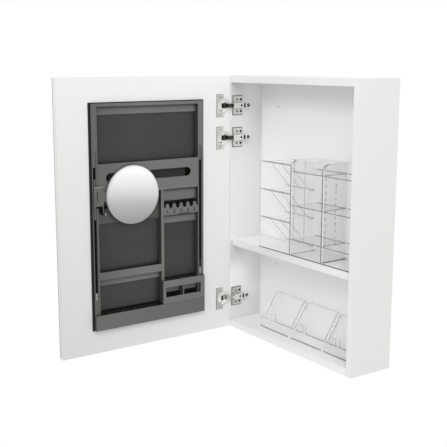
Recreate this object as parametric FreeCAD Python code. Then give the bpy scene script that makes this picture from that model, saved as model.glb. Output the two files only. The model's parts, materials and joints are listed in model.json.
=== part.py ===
import FreeCAD, Part
import math
import os

# Wall-hung mirror cabinet, door open a quarter turn. Millimetres, +X right, +Z up, the room at -Y.
# Origin: in the wall plane, on the centre line, at the height of the upper wall screws.

V = FreeCAD.Vector

# Cabinet case
cabinet_width = 508.0
cabinet_height = 700.0
carcass_depth = 127.0
board = 18.0
back_recess = 21.0
back_thickness = 9.0
hang_line_below_top = 83.0
hanging_rail_height = 100.0
lower_rail_above_bottom = 130.0
wall_screw_offset = 163.0
wall_screw_radius = 2.75
shelf_thickness = 18.0
shelf_top_above_bottom = 250.0
shelf_front_setback = 7.0
shelf_end_gap = 0.5
shelf_pin_radius = 2.5
shelf_pin_depth = 8.0
shelf_pin_length = 7.0
shelf_pin_inset = 22.0
dowel_radius = 4.0
dowel_length = 30.0
dowel_inset = 30.0

# Fits shared by the whole cabinet
contact_gap = 0.1
slide_gap = 0.3
pin_gap = 0.05
bore_gap = 0.05
overrun = 1.0

# Door
door_board_thickness = 16.0
door_mirror_thickness = 5.0
open_edge_gap = 4.5
mirror_edge_inset = 1.0

# Concealed hinges: centre heights from the cabinet's top and bottom
top_hinge_drop = 80.0
middle_hinge_drop = 166.5
bottom_hinge_above_bottom = 84.5
hinge_names = ("top", "middle", "bottom")
cup_radius = 17.5
cup_depth = 12.7
cup_sheet = 0.7
cup_edge_distance = 3.0
hinge_pin_radius = 1.25
hinge_eye_radius = 2.2
hinge_eye_half_height = 7.8
hinge_pin_depth = 9.5
cup_ear_width = 5.0
cup_ear_gap = 0.4
flange_thickness = 1.0
flange_rim = 1.7
flange_length = 60.0
flange_width = 21.75
flange_offset = 10.9
cup_screw_spacing = 46.0
cup_screw_radius = 1.75
cup_screw_length = 10.0
cup_screw_head_radius = 3.4
screw_head_height = 1.3
plate_front = 6.0
plate_length = 31.0
plate_height = 52.0
plate_thickness = 2.0
plate_corner = 3.0
plate_screw_front = 18.0
plate_screw_spacing = 32.0
plate_screw_radius = 2.5
plate_screw_length = 11.0
plate_screw_head_radius = 3.8
plate_slot_front = 31.0
plate_slot_radius = 2.4
spine_height = 1.0
spine_half_width = 5.5
arm_front = 2.0
arm_length = 55.0
arm_rise = 10.0
arm_half_width = 7.5
arm_sheet = 1.5
arm_screw_radius = 2.6
arm_screw_front = 27.4
arm_slot_front = 38.0
arm_slot_width = 3.0
arm_slot_height = 8.0
arm_fixing_front = 50.0
hook_sheet = 2.4
hook_half_height = 5.5
hook_root = 12.0
hook_bend_radius = 9.0

# Storage unit on the door: places run from the door's hinge edge and down from its top
unit_from_hinge_edge = 86.9
unit_width = 337.9
unit_below_top = 61.0
unit_above_bottom = 60.6
unit_flange = 1.5
unit_side_margin = 4.5
unit_end_margin = 2.5
unit_proud = 7.0
pan_depth = 9.0
pan_wall = 1.5
pan_inset = 4.5
pan_clearance = 0.5
backing_thickness = 1.0
stile_width = 16.2
top_rail_height = 8.0
bottom_rail_height = 8.0
strip_thickness = 3.0
strip_height = 20.6
bridge_drop = 151.9
bridge_height = 79.0
bridge_thickness = 3.0
bridge_slot_drop = 24.0
bridge_slot_height = 23.0
bridge_slot_inset = 23.0
seam = 0.2
divider_from_hinge_side = 127.3
divider_width = 8.8
comb_upper_strip_height = 31.6
comb_height = 35.5
comb_thickness = 3.0
comb_tooth_count = 5
comb_slot_width = 12.0
comb_slot_depth = 16.0
comb_tooth_tip = 2.6
comb_tip_height = 9.0
comb_shadow_gap = 1.5
comb_strip_height = 22.8
mid_strip_height = 73.5
catch_hole_side = 4.0
catch_hole_width = 8.0
catch_hole_drop = 28.5
catch_hole_height = 17.0
lip_above_unit_bottom = 151.2
lip_height = 20.0
lip_thickness = 2.0
low_strip_height = 17.0
ledge_thickness = 2.0
tray_height = 39.6
tray_proud = 8.0
tray_wall = 2.0
tray_divider_shares = (0.22, 0.43, 0.63, 0.84)
tray_divider_height = 30.0
tray_divider_proud = 5.0
box_height = 62.4
box_window_drop = 19.0
box_window_height = 26.0
box_window_side = 13.5
box_strip_drop = 9.0
box_strip_height = 30.0
box_screw_drop = 17.0
box_wall = 2.0
box_divider_width = 3.0
box_floor_thickness = 2.0
rail_width = 10.0
left_rail_side = 1.7
right_rail_side = 4.0
rail_sunk = 1.0
rail_start_drop = 120.0
rail_slot_width = 4.8
rail_chamber_width = 7.4
rail_chamber_depth = 2.2
rail_lip = 1.5
rail_slot_drop = 38.9
left_rail_foot = 40.0
right_rail_foot = 3.5
catch_height = 18.0
catch_rise = 0.8
catch_width = 5.0
unit_screw_radius = 1.5
unit_screw_length = 5.5
unit_screw_head_radius = 3.0
unit_screw_side_inset = 20.0

# Round shaving mirror and its slider on the free-edge rail
mirror_radius = 75.5
mirror_drop = 295.0
mirror_from_hinge_edge = 308.4
mirror_arm_thickness = 1.8
mirror_shell_thickness = 3.0
mirror_glass_thickness = 2.0
mirror_rim = 1.6
mirror_pocket = 1.6
mirror_arm_height = 26.0
bracket_height = 55.0
slider_above_bracket = 18.0
slider_below_bracket = 29.0
bracket_width = 27.0
bracket_overhang = 3.5
hub_radius = 16.0
bracket_rib_width = 1.6
bracket_rib_height = 30.0
bracket_rib_rise = 0.8
hook_drop = 15.0
hook_bar_height = 2.2
hook_reach = 5.0

# Clear organisers on the shelf and on the floor
clear_wall = 2.5
clear_front_setback = 10.5
clear_depth = 85.5
clear_spacing = 0.3
rack_from_left = 118.3
rack_width_share = 0.362
rack_lowest_floor_rise = 12.2
rack_tier_pitch = 73.6
rack_tier_count = 3
rack_column_count = 3
rack_slope_run = 65.5
tower_left_width_share = 0.338
tower_right_end_gap = 3.5
tower_height = 244.0
tower_corner_radius = 17.0
tower_shelf_heights = (44.0, 131.0, 217.5)
bins_from_left = 92.0
bins_end_gap = 3.2
bin_gap = 10.4
bin_names = ("left", "middle", "right")
bin_front_setback = 38.0
bin_lip_height = 26.0
bin_base_depth = 53.0
bin_back_start = 7.5
bin_back_height = 87.0
bin_back_lean = 55.0
bin_rim = 6.0
bin_corner_radius = 8.0

# Places worked out from the sizes above
left_x = -cabinet_width / 2
inner_left_x = left_x + board
inner_right_x = -inner_left_x
inner_width = inner_right_x - inner_left_x
front_y = -carcass_depth
back_face_y = -back_recess
top_z = hang_line_below_top
bottom_z = top_z - cabinet_height
lower_screws_z = bottom_z + lower_rail_above_bottom + hanging_rail_height / 2
hinge_heights = (top_z - top_hinge_drop, top_z - middle_hinge_drop, bottom_z + bottom_hinge_above_bottom)
inner_top_z = top_z - board
inner_bottom_z = bottom_z + board
shelf_top_z = bottom_z + shelf_top_above_bottom
door_face_x = inner_left_x
door_edge_y = front_y - open_edge_gap
hinge_axis_x = door_face_x - hinge_pin_depth
hinge_axis_y = front_y - (board - hinge_pin_depth + open_edge_gap)
cup_centre_y = door_edge_y - cup_edge_distance - cup_radius
unit_height = cabinet_height - unit_below_top - unit_above_bottom
unit_side_inner = unit_side_margin + stile_width
window_left = unit_from_hinge_edge + unit_width - unit_side_inner
window_right = unit_from_hinge_edge + unit_side_inner
window_top = unit_below_top + unit_end_margin + top_rail_height
window_bottom = unit_below_top + unit_height - unit_end_margin - bottom_rail_height
divider_right = unit_from_hinge_edge + divider_from_hinge_side
divider_left = divider_right + divider_width
floor_out = pan_wall + backing_thickness - pan_depth
strip_out = floor_out + strip_thickness
bridge_top = unit_below_top + bridge_drop
bridge_bottom = bridge_top + bridge_height
comb_top = bridge_bottom + comb_upper_strip_height + comb_shadow_gap
tray_top = unit_below_top + unit_height - unit_end_margin - tray_height
tray_bottom = unit_below_top + unit_height - unit_end_margin
box_top = tray_top - box_height
frame_right = unit_from_hinge_edge + unit_side_margin
frame_left = unit_from_hinge_edge + unit_width - unit_side_margin
tray_out = unit_proud + tray_proud
rail_top = unit_below_top + rail_start_drop
slot_top = rail_top + rail_slot_drop
lip_top = unit_below_top + unit_height - lip_above_unit_bottom
clear_width = inner_width - rack_from_left - tower_right_end_gap - 2 * clear_spacing
rack_width = rack_width_share * clear_width
rack_height = rack_lowest_floor_rise + rack_tier_count * rack_tier_pitch
tower_left_width = tower_left_width_share * clear_width
bin_width = (inner_width - bins_from_left - bins_end_gap - bin_gap * (len(bin_names) - 1)) / len(bin_names)


def box(x0, x1, y0, y1, z0, z1):
    """Solid block between two corners, given in any order along each axis."""
    low = V(min(x0, x1), min(y0, y1), min(z0, z1))
    return Part.makeBox(abs(x1 - x0), abs(y1 - y0), abs(z1 - z0), low)


def on_door(right, left, top, bottom, back, face):
    """Block on the door: from its hinge edge, down from its top, and out from its inner face."""
    return box(door_face_x + back, door_face_x + face, door_edge_y - right, door_edge_y - left,
               top_z - top, top_z - bottom)


def rod(x, y, z, axis, radius, length):
    """Round bar from a point along an axis."""
    return Part.makeCylinder(radius, length, V(x, y, z), axis)


def plate_along_x(points, x, thickness):
    """Flat plate in the Y-Z plane with a straight-sided outline."""
    outline = [V(x, y, z) for y, z in points]
    face = Part.Face(Part.makePolygon(outline + outline[:1]))
    return face.extrude(V(thickness, 0, 0))


def joined(shapes):
    """One solid from pieces that touch, with the seams between flush faces removed."""
    return shapes[0].fuse(shapes[1:]).removeSplitter() if len(shapes) > 1 else shapes[0]


def less(shape, cutters):
    """A solid with every cutter taken away."""
    return shape.cut(Part.makeCompound(cutters)) if cutters else shape


def save(node, shapes):
    """Writes one node, one solid or a group of separate solids."""
    solids = shapes if isinstance(shapes, list) else [shapes]
    shape = solids[0] if len(solids) == 1 else Part.makeCompound(solids)
    shape.exportStep("parts/" + node + ".step")


def dowel_places():
    """Ends of the case's corner dowels: centre height of the board, depth, and side."""
    places = []
    for z in (top_z - board / 2, bottom_z + board / 2):
        for y in (front_y + dowel_inset, -dowel_inset):
            for side in (-1, 1):
                places.append((side, y, z))
    return places


def shelf_pin_places():
    """Centre of each shelf pin, under the shelf's four corners."""
    z = shelf_top_z - shelf_thickness - shelf_pin_radius
    ys = (front_y + shelf_front_setback + shelf_pin_inset, back_face_y - shelf_pin_inset)
    return [(side, y, z) for y in ys for side in (-1, 1)]


def dowel(side, y, z, gap):
    """Dowel across the joint between a side panel and a level panel."""
    x = side * (inner_right_x - dowel_length / 2) - side * gap
    return rod(x, y, z, V(side, 0, 0), dowel_radius + gap, dowel_length / 2 + board / 2 + 2 * gap)


def make_side_panel(side):
    """Side panel with dowel and shelf pin holes; the left one takes the hinge plates' screws."""
    panel = box(side * inner_right_x, side * (inner_right_x + board), front_y, 0, bottom_z, top_z)
    cutters = [dowel(s, y, z, bore_gap) for s, y, z in dowel_places() if s == side]
    for s, y, z in shelf_pin_places():
        if s == side:
            cutters.append(rod(side * inner_right_x, y, z, V(side, 0, 0), shelf_pin_radius + bore_gap,
                               shelf_pin_depth + contact_gap))
    if side < 0:
        for z in hinge_heights:
            for x, y, height in plate_screw_places(z):
                cutters.append(rod(inner_left_x, y, height, V(-1, 0, 0), plate_screw_radius + bore_gap,
                                   plate_screw_length + contact_gap))
    return less(panel, cutters)


def make_level_panel(low, high):
    """Top or bottom panel between the sides."""
    panel = box(inner_left_x, inner_right_x, front_y, 0, low, high)
    return less(panel, [dowel(s, y, z, bore_gap) for s, y, z in dowel_places() if low < z < high])


def wall_screw_holes():
    """Holes for the four wall screws, through back panel and rails."""
    length = back_recess + 2 * overrun
    return [rod(side * wall_screw_offset, overrun, z, V(0, -1, 0), wall_screw_radius, length)
            for side in (-1, 1) for z in (0, lower_screws_z)]


def make_back_panel():
    """Back board set forward of the wall, with its screw holes."""
    panel = box(inner_left_x, inner_right_x, back_face_y, back_face_y + back_thickness,
                inner_bottom_z, inner_top_z)
    return less(panel, wall_screw_holes())


def make_hanging_rail(centre_z):
    """Board between the back panel and the wall that the wall screws go through."""
    high = min(centre_z + hanging_rail_height / 2, inner_top_z)
    rail = box(inner_left_x, inner_right_x, back_face_y + back_thickness, 0,
               centre_z - hanging_rail_height / 2, high)
    return less(rail, wall_screw_holes())


def make_shelf():
    """Loose shelf on its four pins."""
    return box(inner_left_x + shelf_end_gap, inner_right_x - shelf_end_gap,
               front_y + shelf_front_setback, back_face_y - shelf_end_gap,
               shelf_top_z - shelf_thickness, shelf_top_z)


def make_shelf_pins():
    """Four steel pins in the side panels."""
    length = shelf_pin_depth + shelf_pin_length
    return [rod(s * (inner_right_x + shelf_pin_depth), y, z, V(-s, 0, 0), shelf_pin_radius, length)
            for s, y, z in shelf_pin_places()]


def plate_screw_places(z):
    """The two screws of one mounting plate: side, depth and height."""
    y = front_y + plate_screw_front
    return [(inner_left_x, y, z + side * plate_screw_spacing / 2) for side in (-1, 1)]


def rounded_in_yz(x0, x1, y0, y1, z0, z1, radius):
    """Block with its four edges along X rounded."""
    block = box(x0, x1, y0, y1, z0, z1)
    edges = [e for e in block.Edges if abs(e.Vertexes[0].X - e.Vertexes[1].X) > abs(x1 - x0) / 2]
    return block.makeFillet(radius, edges)


def make_hinge_plate(z):
    """Cross-shaped mounting plate on the left side panel."""
    y0 = front_y + plate_front
    half = plate_height / 2
    wings = rounded_in_yz(inner_left_x, inner_left_x + plate_thickness, y0, y0 + plate_length,
                          z - half, z + half, plate_corner)
    spine = box(inner_left_x, inner_left_x + plate_thickness + spine_height, front_y + arm_front + arm_sheet,
                front_y + arm_front + arm_length - arm_sheet, z - spine_half_width, z + spine_half_width)
    cutters = [rod(x - overrun, y, height, V(1, 0, 0), plate_screw_radius + bore_gap,
                   plate_thickness + spine_height + 2 * overrun) for x, y, height in plate_screw_places(z)]
    for side in (-1, 1):
        height = z + side * plate_screw_spacing / 2
        cutters.append(rod(inner_left_x - overrun, front_y + plate_slot_front, height, V(1, 0, 0),
                           plate_slot_radius, plate_thickness + 2 * overrun))
    return less(joined([wings, spine]), cutters)


def make_hinge_arm(z):
    """Channel-shaped arm over the plate, with its three openings."""
    x0 = inner_left_x + plate_thickness
    x1 = x0 + arm_rise
    y0 = front_y + arm_front
    y1 = y0 + arm_length
    arm = box(x0, x1, y0, y1, z - arm_half_width, z + arm_half_width)
    inside = arm_half_width - arm_sheet
    cutters = [box(x0 - overrun, x1 - arm_sheet, y0 - overrun, y1 + overrun, z - inside, z + inside)]
    for front in (arm_screw_front, arm_fixing_front):
        cutters.append(rod(x0, front_y + front, z, V(1, 0, 0), arm_screw_radius + contact_gap,
                           arm_rise + overrun))
    slot_y = front_y + arm_slot_front
    cutters.append(box(x0, x1 + overrun, slot_y - arm_slot_width / 2, slot_y + arm_slot_width / 2,
                       z - arm_slot_height / 2, z + arm_slot_height / 2))
    return less(arm, cutters)


def hook_path():
    """Centre line of the hook in plan, from inside the arm to the hinge axis."""
    x = inner_left_x + plate_thickness + arm_rise - arm_sheet - hook_sheet / 2
    return (x, front_y + arm_front + hook_root), (x, hinge_axis_y), (hinge_axis_x, hinge_axis_y)


def make_hinge_hook(z):
    """Curved steel hook that reaches from the arm into the cup and turns on its pin."""
    start, corner, end = hook_path()
    half = hook_sheet / 2
    inner = hook_bend_radius - half
    outer = hook_bend_radius + half
    centre_x = corner[0] - hook_bend_radius
    centre_y = corner[1] + hook_bend_radius
    low = z - hook_half_height
    height = 2 * hook_half_height
    shank = box(start[0] - half, start[0] + half, start[1], centre_y, low, low + height)
    tongue = box(centre_x, end[0], end[1] - half, end[1] + half, low, low + height)
    ring = Part.makeCylinder(outer, height, V(centre_x, centre_y, low))
    ring = ring.cut(Part.makeCylinder(inner, height, V(centre_x, centre_y, low)))
    bend = ring.common(box(centre_x, centre_x + outer, centre_y - outer, centre_y, low, low + height))
    eye_low = z - hinge_eye_half_height
    eye = Part.makeCylinder(hinge_eye_radius, 2 * hinge_eye_half_height, V(end[0], end[1], eye_low))
    bore = Part.makeCylinder(hinge_pin_radius + pin_gap, 2 * hinge_eye_half_height + 2 * overrun,
                             V(end[0], end[1], eye_low - overrun))
    return joined([shank, bend, tongue, eye]).cut(bore)


def make_arm_screws(z):
    """Adjusting screw and fixing screw of one arm, standing on the plate's spine."""
    x0 = inner_left_x + plate_thickness + spine_height
    length = arm_rise - spine_height + contact_gap
    return [rod(x0, front_y + front, z, V(1, 0, 0), arm_screw_radius, length)
            for front in (arm_screw_front, arm_fixing_front)]


def make_plate_screws(z):
    """Two screws that hold one plate to the side panel."""
    screws = []
    for x, y, height in plate_screw_places(z):
        length = plate_screw_length + plate_thickness
        shank = rod(x + plate_thickness, y, height, V(-1, 0, 0), plate_screw_radius, length)
        head = rod(x + plate_thickness, y, height, V(1, 0, 0), plate_screw_head_radius, screw_head_height)
        screws.append(joined([shank, head]))
    return screws


def cup_screw_places(z):
    """The two screws of one hinge cup: depth and height."""
    y = cup_centre_y - flange_offset
    return [(y, z + side * cup_screw_spacing / 2) for side in (-1, 1)]


def make_hinge_cup(z):
    """Pressed cup in the door with its flange and the two ears that hold the pin."""
    x0 = door_face_x - cup_depth
    shell = rod(x0, cup_centre_y, z, V(1, 0, 0), cup_radius, cup_depth)
    rim = rod(door_face_x, cup_centre_y, z, V(1, 0, 0), cup_radius + flange_rim, flange_thickness)
    plate = rounded_in_yz(door_face_x, door_face_x + flange_thickness,
                          cup_centre_y - flange_offset - flange_width / 2,
                          cup_centre_y - flange_offset + flange_width / 2,
                          z - flange_length / 2, z + flange_length / 2, plate_corner)
    hollow = rod(x0 + cup_sheet, cup_centre_y, z, V(1, 0, 0), cup_radius - cup_sheet,
                 cup_depth + flange_thickness)
    cup = joined([shell, rim, plate]).cut(hollow)
    ears = []
    for side in (-1, 1):
        block = box(x0 + cup_sheet, hinge_axis_x + cup_ear_width / 2, hinge_axis_y - cup_ear_width / 2,
                    hinge_axis_y + cup_ear_width / 2, z + side * (hinge_eye_half_height + cup_ear_gap),
                    z + side * cup_radius)
        ears.append(block.common(hollow))
    bore = Part.makeCylinder(hinge_pin_radius, 2 * cup_radius, V(hinge_axis_x, hinge_axis_y, z - cup_radius))
    cutters = [bore.common(hollow)]
    for y, height in cup_screw_places(z):
        cutters.append(rod(door_face_x - overrun, y, height, V(1, 0, 0), cup_screw_radius + bore_gap,
                           flange_thickness + 2 * overrun))
    return less(joined([cup] + ears), cutters)


def pin_half_length():
    """Half the length of a hinge pin that ends inside the round wall of the cup."""
    reach = abs(hinge_axis_y - cup_centre_y) + hinge_pin_radius
    return math.sqrt((cup_radius - cup_sheet) ** 2 - reach ** 2)


def make_hinge_pin(z):
    """Pin on the hinge's turning axis."""
    half = pin_half_length()
    return Part.makeCylinder(hinge_pin_radius, 2 * half, V(hinge_axis_x, hinge_axis_y, z - half))


def make_cup_screws(z):
    """Two screws that hold one cup to the door board."""
    screws = []
    for y, height in cup_screw_places(z):
        length = cup_screw_length + flange_thickness
        x = door_face_x + flange_thickness
        shank = rod(x, y, height, V(-1, 0, 0), cup_screw_radius, length)
        head = rod(x, y, height, V(1, 0, 0), cup_screw_head_radius, screw_head_height)
        screws.append(joined([shank, head]))
    return screws


def unit_screw_places():
    """Screws of the storage unit: distance from the hinge edge, and drop below the door's top."""
    right = window_right + unit_screw_side_inset
    left = window_left - unit_screw_side_inset
    upper = window_top + strip_height / 2
    return [(right, upper), (left, upper), (right, box_top + box_screw_drop),
            (left, lip_top + lip_height + low_strip_height / 2)]


def make_door_board():
    """Lacquered door board with bores for the cups and a pocket for the storage unit."""
    panel = on_door(0, cabinet_width, 0, cabinet_height, -door_board_thickness, 0)
    inset = pan_inset - pan_clearance
    right = unit_from_hinge_edge
    pocket = on_door(right + inset, right + unit_width - inset, unit_below_top + inset,
                     unit_below_top + unit_height - inset, -pan_depth - contact_gap, overrun)
    cutters = [pocket]
    for z in hinge_heights:
        cutters.append(rod(door_face_x - cup_depth - contact_gap, cup_centre_y, z, V(1, 0, 0),
                           cup_radius + bore_gap, cup_depth + overrun + contact_gap))
        for y, height in cup_screw_places(z):
            depth = cup_screw_length + contact_gap
            cutters.append(rod(door_face_x, y, height, V(-1, 0, 0), cup_screw_radius + bore_gap, depth))
    for side, drop in unit_screw_places():
        depth = unit_screw_length - pan_wall + contact_gap
        cutters.append(rod(door_face_x - pan_depth, door_edge_y - side, top_z - drop, V(-1, 0, 0),
                           unit_screw_radius + bore_gap, depth))
    return less(panel, cutters)


def make_door_mirror():
    """Mirror glass glued to the outside of the door board."""
    inset = mirror_edge_inset
    return on_door(inset, cabinet_width - inset, inset, cabinet_height - inset,
                   -door_board_thickness - door_mirror_thickness, -door_board_thickness)


def make_unit_pan():
    """Black pan of the storage unit, sunk into the door, with its flange on the door's face."""
    right = unit_from_hinge_edge
    left = right + unit_width
    top = unit_below_top
    bottom = top + unit_height
    flange = on_door(right, left, top, bottom, 0, unit_flange)
    inset = pan_inset
    wall = pan_inset + pan_wall
    body = on_door(right + inset, left - inset, top + inset, bottom - inset, -pan_depth, unit_flange)
    hollow = on_door(right + wall, left - wall, top + wall, bottom - wall, pan_wall - pan_depth,
                     unit_flange + overrun)
    cutters = [hollow]
    for side, drop in unit_screw_places():
        cutters.append(rod(door_face_x - pan_depth - overrun, door_edge_y - side, top_z - drop, V(1, 0, 0),
                           unit_screw_radius + bore_gap, pan_wall + 2 * overrun))
    return less(joined([flange, body]), cutters)


def rail_spans():
    """Both rail grooves: nearer and further side, end drop and slot end drop."""
    right = frame_right + right_rail_side
    left = frame_left - left_rail_side
    return ((left - rail_width, left, tray_top, tray_top - left_rail_foot - catch_height),
            (right, right + rail_width, box_top, box_top - right_rail_foot - catch_height))


def make_unit_frame():
    """Grey moulded frame with its window and the grooves for the rails."""
    outer = on_door(frame_right, frame_left, unit_below_top + unit_end_margin, tray_bottom,
                    unit_flange, unit_proud)
    wall = pan_inset + pan_wall
    right = unit_from_hinge_edge + wall
    left = unit_from_hinge_edge + unit_width - wall
    inner = on_door(right, left, unit_below_top + wall, unit_below_top + unit_height - wall,
                    pan_wall - pan_depth, unit_flange)
    window = on_door(window_right, window_left, window_top, window_bottom, -pan_depth, unit_proud + overrun)
    cutters = [window]
    for near, far, end, slot_end in rail_spans():
        cutters.append(on_door(near, far, rail_top, end, unit_flange, unit_proud + overrun))
    return less(joined([outer, inner]), cutters)


def make_unit_backing():
    """Dark panels at the bottom of the recesses."""
    spans = ((window_right, window_left, window_top, bridge_bottom),
             (window_right, divider_right, bridge_bottom, tray_top),
             (divider_left, window_left, bridge_bottom, window_bottom))
    panels = [on_door(a, b, c, d, pan_wall - pan_depth, floor_out) for a, b, c, d in spans]
    holes = []
    for side, drop in unit_screw_places():
        holes.append(rod(door_face_x - pan_depth, door_edge_y - side, top_z - drop, V(1, 0, 0),
                         unit_screw_head_radius + contact_gap, pan_depth))
    return less(joined(panels), holes)


def make_unit_screws():
    """Screws through the pan into the door board."""
    screws = []
    for side, drop in unit_screw_places():
        x = door_face_x - pan_depth + pan_wall
        y = door_edge_y - side
        shank = rod(x, y, top_z - drop, V(-1, 0, 0), unit_screw_radius, unit_screw_length)
        head = rod(x, y, top_z - drop, V(1, 0, 0), unit_screw_head_radius, backing_thickness)
        screws.append(joined([shank, head]))
    return screws


def make_unit_strips():
    """Raised grey strips along the top of each recess."""
    lip_bottom = lip_top + lip_height
    comb_bottom = comb_top + comb_height
    spans = ((window_right, window_left, window_top, window_top + strip_height),
             (divider_left, window_left, bridge_bottom, bridge_bottom + mid_strip_height),
             (window_right, divider_right, bridge_bottom, bridge_bottom + comb_upper_strip_height),
             (window_right, divider_right, comb_bottom, comb_bottom + comb_strip_height),
             (divider_left, window_left, lip_bottom, lip_bottom + low_strip_height),
             (window_right, divider_right, box_top + box_strip_drop,
              box_top + box_strip_drop + box_strip_height))
    hole = on_door(window_left - catch_hole_side - catch_hole_width, window_left - catch_hole_side,
                   bridge_bottom + catch_hole_drop, bridge_bottom + catch_hole_drop + catch_hole_height,
                   floor_out, strip_out)
    return [on_door(a + seam, b - seam, c + seam, d, floor_out, strip_out).cut(hole) for a, b, c, d in spans]


def make_slotted_bridge():
    """Cross board with a long round-ended slot."""
    board_plate = on_door(window_right + seam, window_left - seam, bridge_top, bridge_bottom - seam,
                          unit_proud - bridge_thickness, unit_proud)
    radius = bridge_slot_height / 2
    top = bridge_top + bridge_slot_drop
    right = window_right + bridge_slot_inset
    left = window_left - bridge_slot_inset
    back = unit_proud - bridge_thickness - overrun
    face = unit_proud + overrun
    cutters = [on_door(right + radius, left - radius, top, top + bridge_slot_height, back, face)]
    for end in (right + radius, left - radius):
        cutters.append(rod(door_face_x + back, door_edge_y - end, top_z - top - radius, V(1, 0, 0), radius,
                           face - back))
    posts = []
    for side in (window_right + seam, window_left - seam - bridge_thickness):
        posts.append(on_door(side, side + bridge_thickness, bridge_top, bridge_bottom - seam, floor_out,
                             unit_proud - bridge_thickness))
    return joined([less(board_plate, cutters)] + posts)


def make_centre_divider():
    """Upright between the two columns of the unit."""
    return on_door(divider_right, divider_left, bridge_bottom, tray_top, pan_wall - pan_depth, unit_proud)


def make_brush_comb():
    """Rack with round-bottomed slots for toothbrushes, and the ledge under it."""
    top = comb_top
    right = window_right + seam
    left = divider_right - seam
    pitch = (left - right) / comb_tooth_count
    face = unit_proud
    back = unit_proud - comb_thickness
    plate = on_door(right, left, top, top + comb_height, back, face)
    radius = comb_slot_width / 2
    mouth = (pitch - comb_tooth_tip) / 2
    cutters = []
    for index in range(comb_tooth_count + 1):
        middle = right + index * pitch
        y = door_edge_y - middle
        high = top_z - top
        flare = ((y - mouth, high), (y + mouth, high), (y + radius, high - comb_tip_height),
                 (y - radius, high - comb_tip_height))
        cutters.append(plate_along_x(flare, door_face_x + back - overrun, comb_thickness + 2 * overrun))
        cutters.append(on_door(middle - radius, middle + radius, top - overrun,
                               top + comb_slot_depth - radius, back - overrun, face + overrun))
        cutters.append(rod(door_face_x + back - overrun, door_edge_y - middle,
                           top_z - top - comb_slot_depth + radius, V(1, 0, 0), radius,
                           comb_thickness + 2 * overrun))
    shelf_top = top + comb_slot_depth + overrun
    ledge = on_door(right, left, shelf_top, shelf_top + ledge_thickness, floor_out, back)
    return joined([less(plate, cutters), ledge])


def make_ledge_lip():
    """Shallow pocket in the free-edge column: lip and floor."""
    top = lip_top
    right = divider_left + seam
    left = window_left - seam
    lip = on_door(right, left, top, top + lip_height, unit_proud - lip_thickness, unit_proud)
    floor = on_door(right, left, top + lip_height - ledge_thickness, top + lip_height, floor_out,
                    unit_proud - lip_thickness)
    return joined([lip, floor])


def make_bottom_tray():
    """Deeper tray across the bottom: front, ends, floor and the fingers between compartments."""
    inner_face = tray_out - tray_wall
    front = on_door(frame_right, frame_left, tray_top, tray_bottom, inner_face, tray_out)
    floor = on_door(frame_right, frame_left, tray_bottom - tray_wall, tray_bottom, unit_proud, inner_face)
    pieces = [front, floor]
    for side in (frame_right, frame_left - tray_wall):
        pieces.append(on_door(side, side + tray_wall, tray_top, tray_bottom, unit_proud, inner_face))
    return joined(pieces)


def make_tray_fingers():
    """Upright fingers that part the tray into compartments."""
    fingers = []
    for share in tray_divider_shares:
        middle = divider_left + share * (window_left - divider_left)
        fingers.append(on_door(middle - tray_wall / 2, middle + tray_wall / 2,
                               window_bottom - tray_divider_height, window_bottom, floor_out,
                               unit_proud + tray_divider_proud))
    return fingers


def make_accessory_box():
    """Open-topped box with two windows at the hinge side of the tray."""
    top = box_top
    bottom = tray_top - seam
    right = frame_right
    left = divider_left
    inner_face = tray_out - box_wall
    front = on_door(right, left, top, bottom, inner_face, tray_out)
    window = on_door(right + box_window_side, left - divider_width, top + box_window_drop,
                     top + box_window_drop + box_window_height, inner_face - overrun, tray_out + overrun)
    middle = (right + box_window_side + left - divider_width) / 2
    pieces = [front.cut(window)]
    pieces.append(on_door(middle - box_divider_width / 2, middle + box_divider_width / 2, top, bottom,
                          strip_out, tray_out))
    for side in (right, left - box_wall):
        pieces.append(on_door(side, side + box_wall, top, bottom, unit_proud, inner_face))
    pieces.append(on_door(window_right + seam, divider_right - seam, bottom - box_floor_thickness, bottom,
                          floor_out, inner_face))
    return joined(pieces)


def make_rail(near, far, end, slot_end):
    """Rail let into the frame, with a slot over a wider chamber for the slider."""
    face = unit_proud - rail_sunk
    middle = (near + far) / 2
    bar = on_door(near + seam, far - seam, rail_top + seam, end - seam, unit_flange, face)
    slot = on_door(middle - rail_slot_width / 2, middle + rail_slot_width / 2, slot_top, slot_end,
                   face - rail_lip - overrun, face + overrun)
    chamber = on_door(middle - rail_chamber_width / 2, middle + rail_chamber_width / 2, slot_top, slot_end,
                      face - rail_lip - rail_chamber_depth, face - rail_lip)
    return less(bar, [slot, chamber])


def make_rail_catches():
    """Small raised catches below the rails' slots."""
    catches = []
    for near, far, end, slot_end in rail_spans():
        middle = (near + far) / 2
        low = slot_end + catch_height
        catches.append(on_door(middle - catch_width / 2, middle + catch_width / 2, slot_end + seam, low,
                               unit_proud - rail_sunk, unit_proud - rail_sunk + catch_rise))
    return catches


def mirror_levels():
    """Distances from the door's face of the mirror's arm, shell and glass."""
    arm_back = unit_proud + slide_gap
    shell_back = arm_back + mirror_arm_thickness
    glass_back = shell_back + mirror_shell_thickness - mirror_pocket
    return arm_back, shell_back, glass_back


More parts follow.
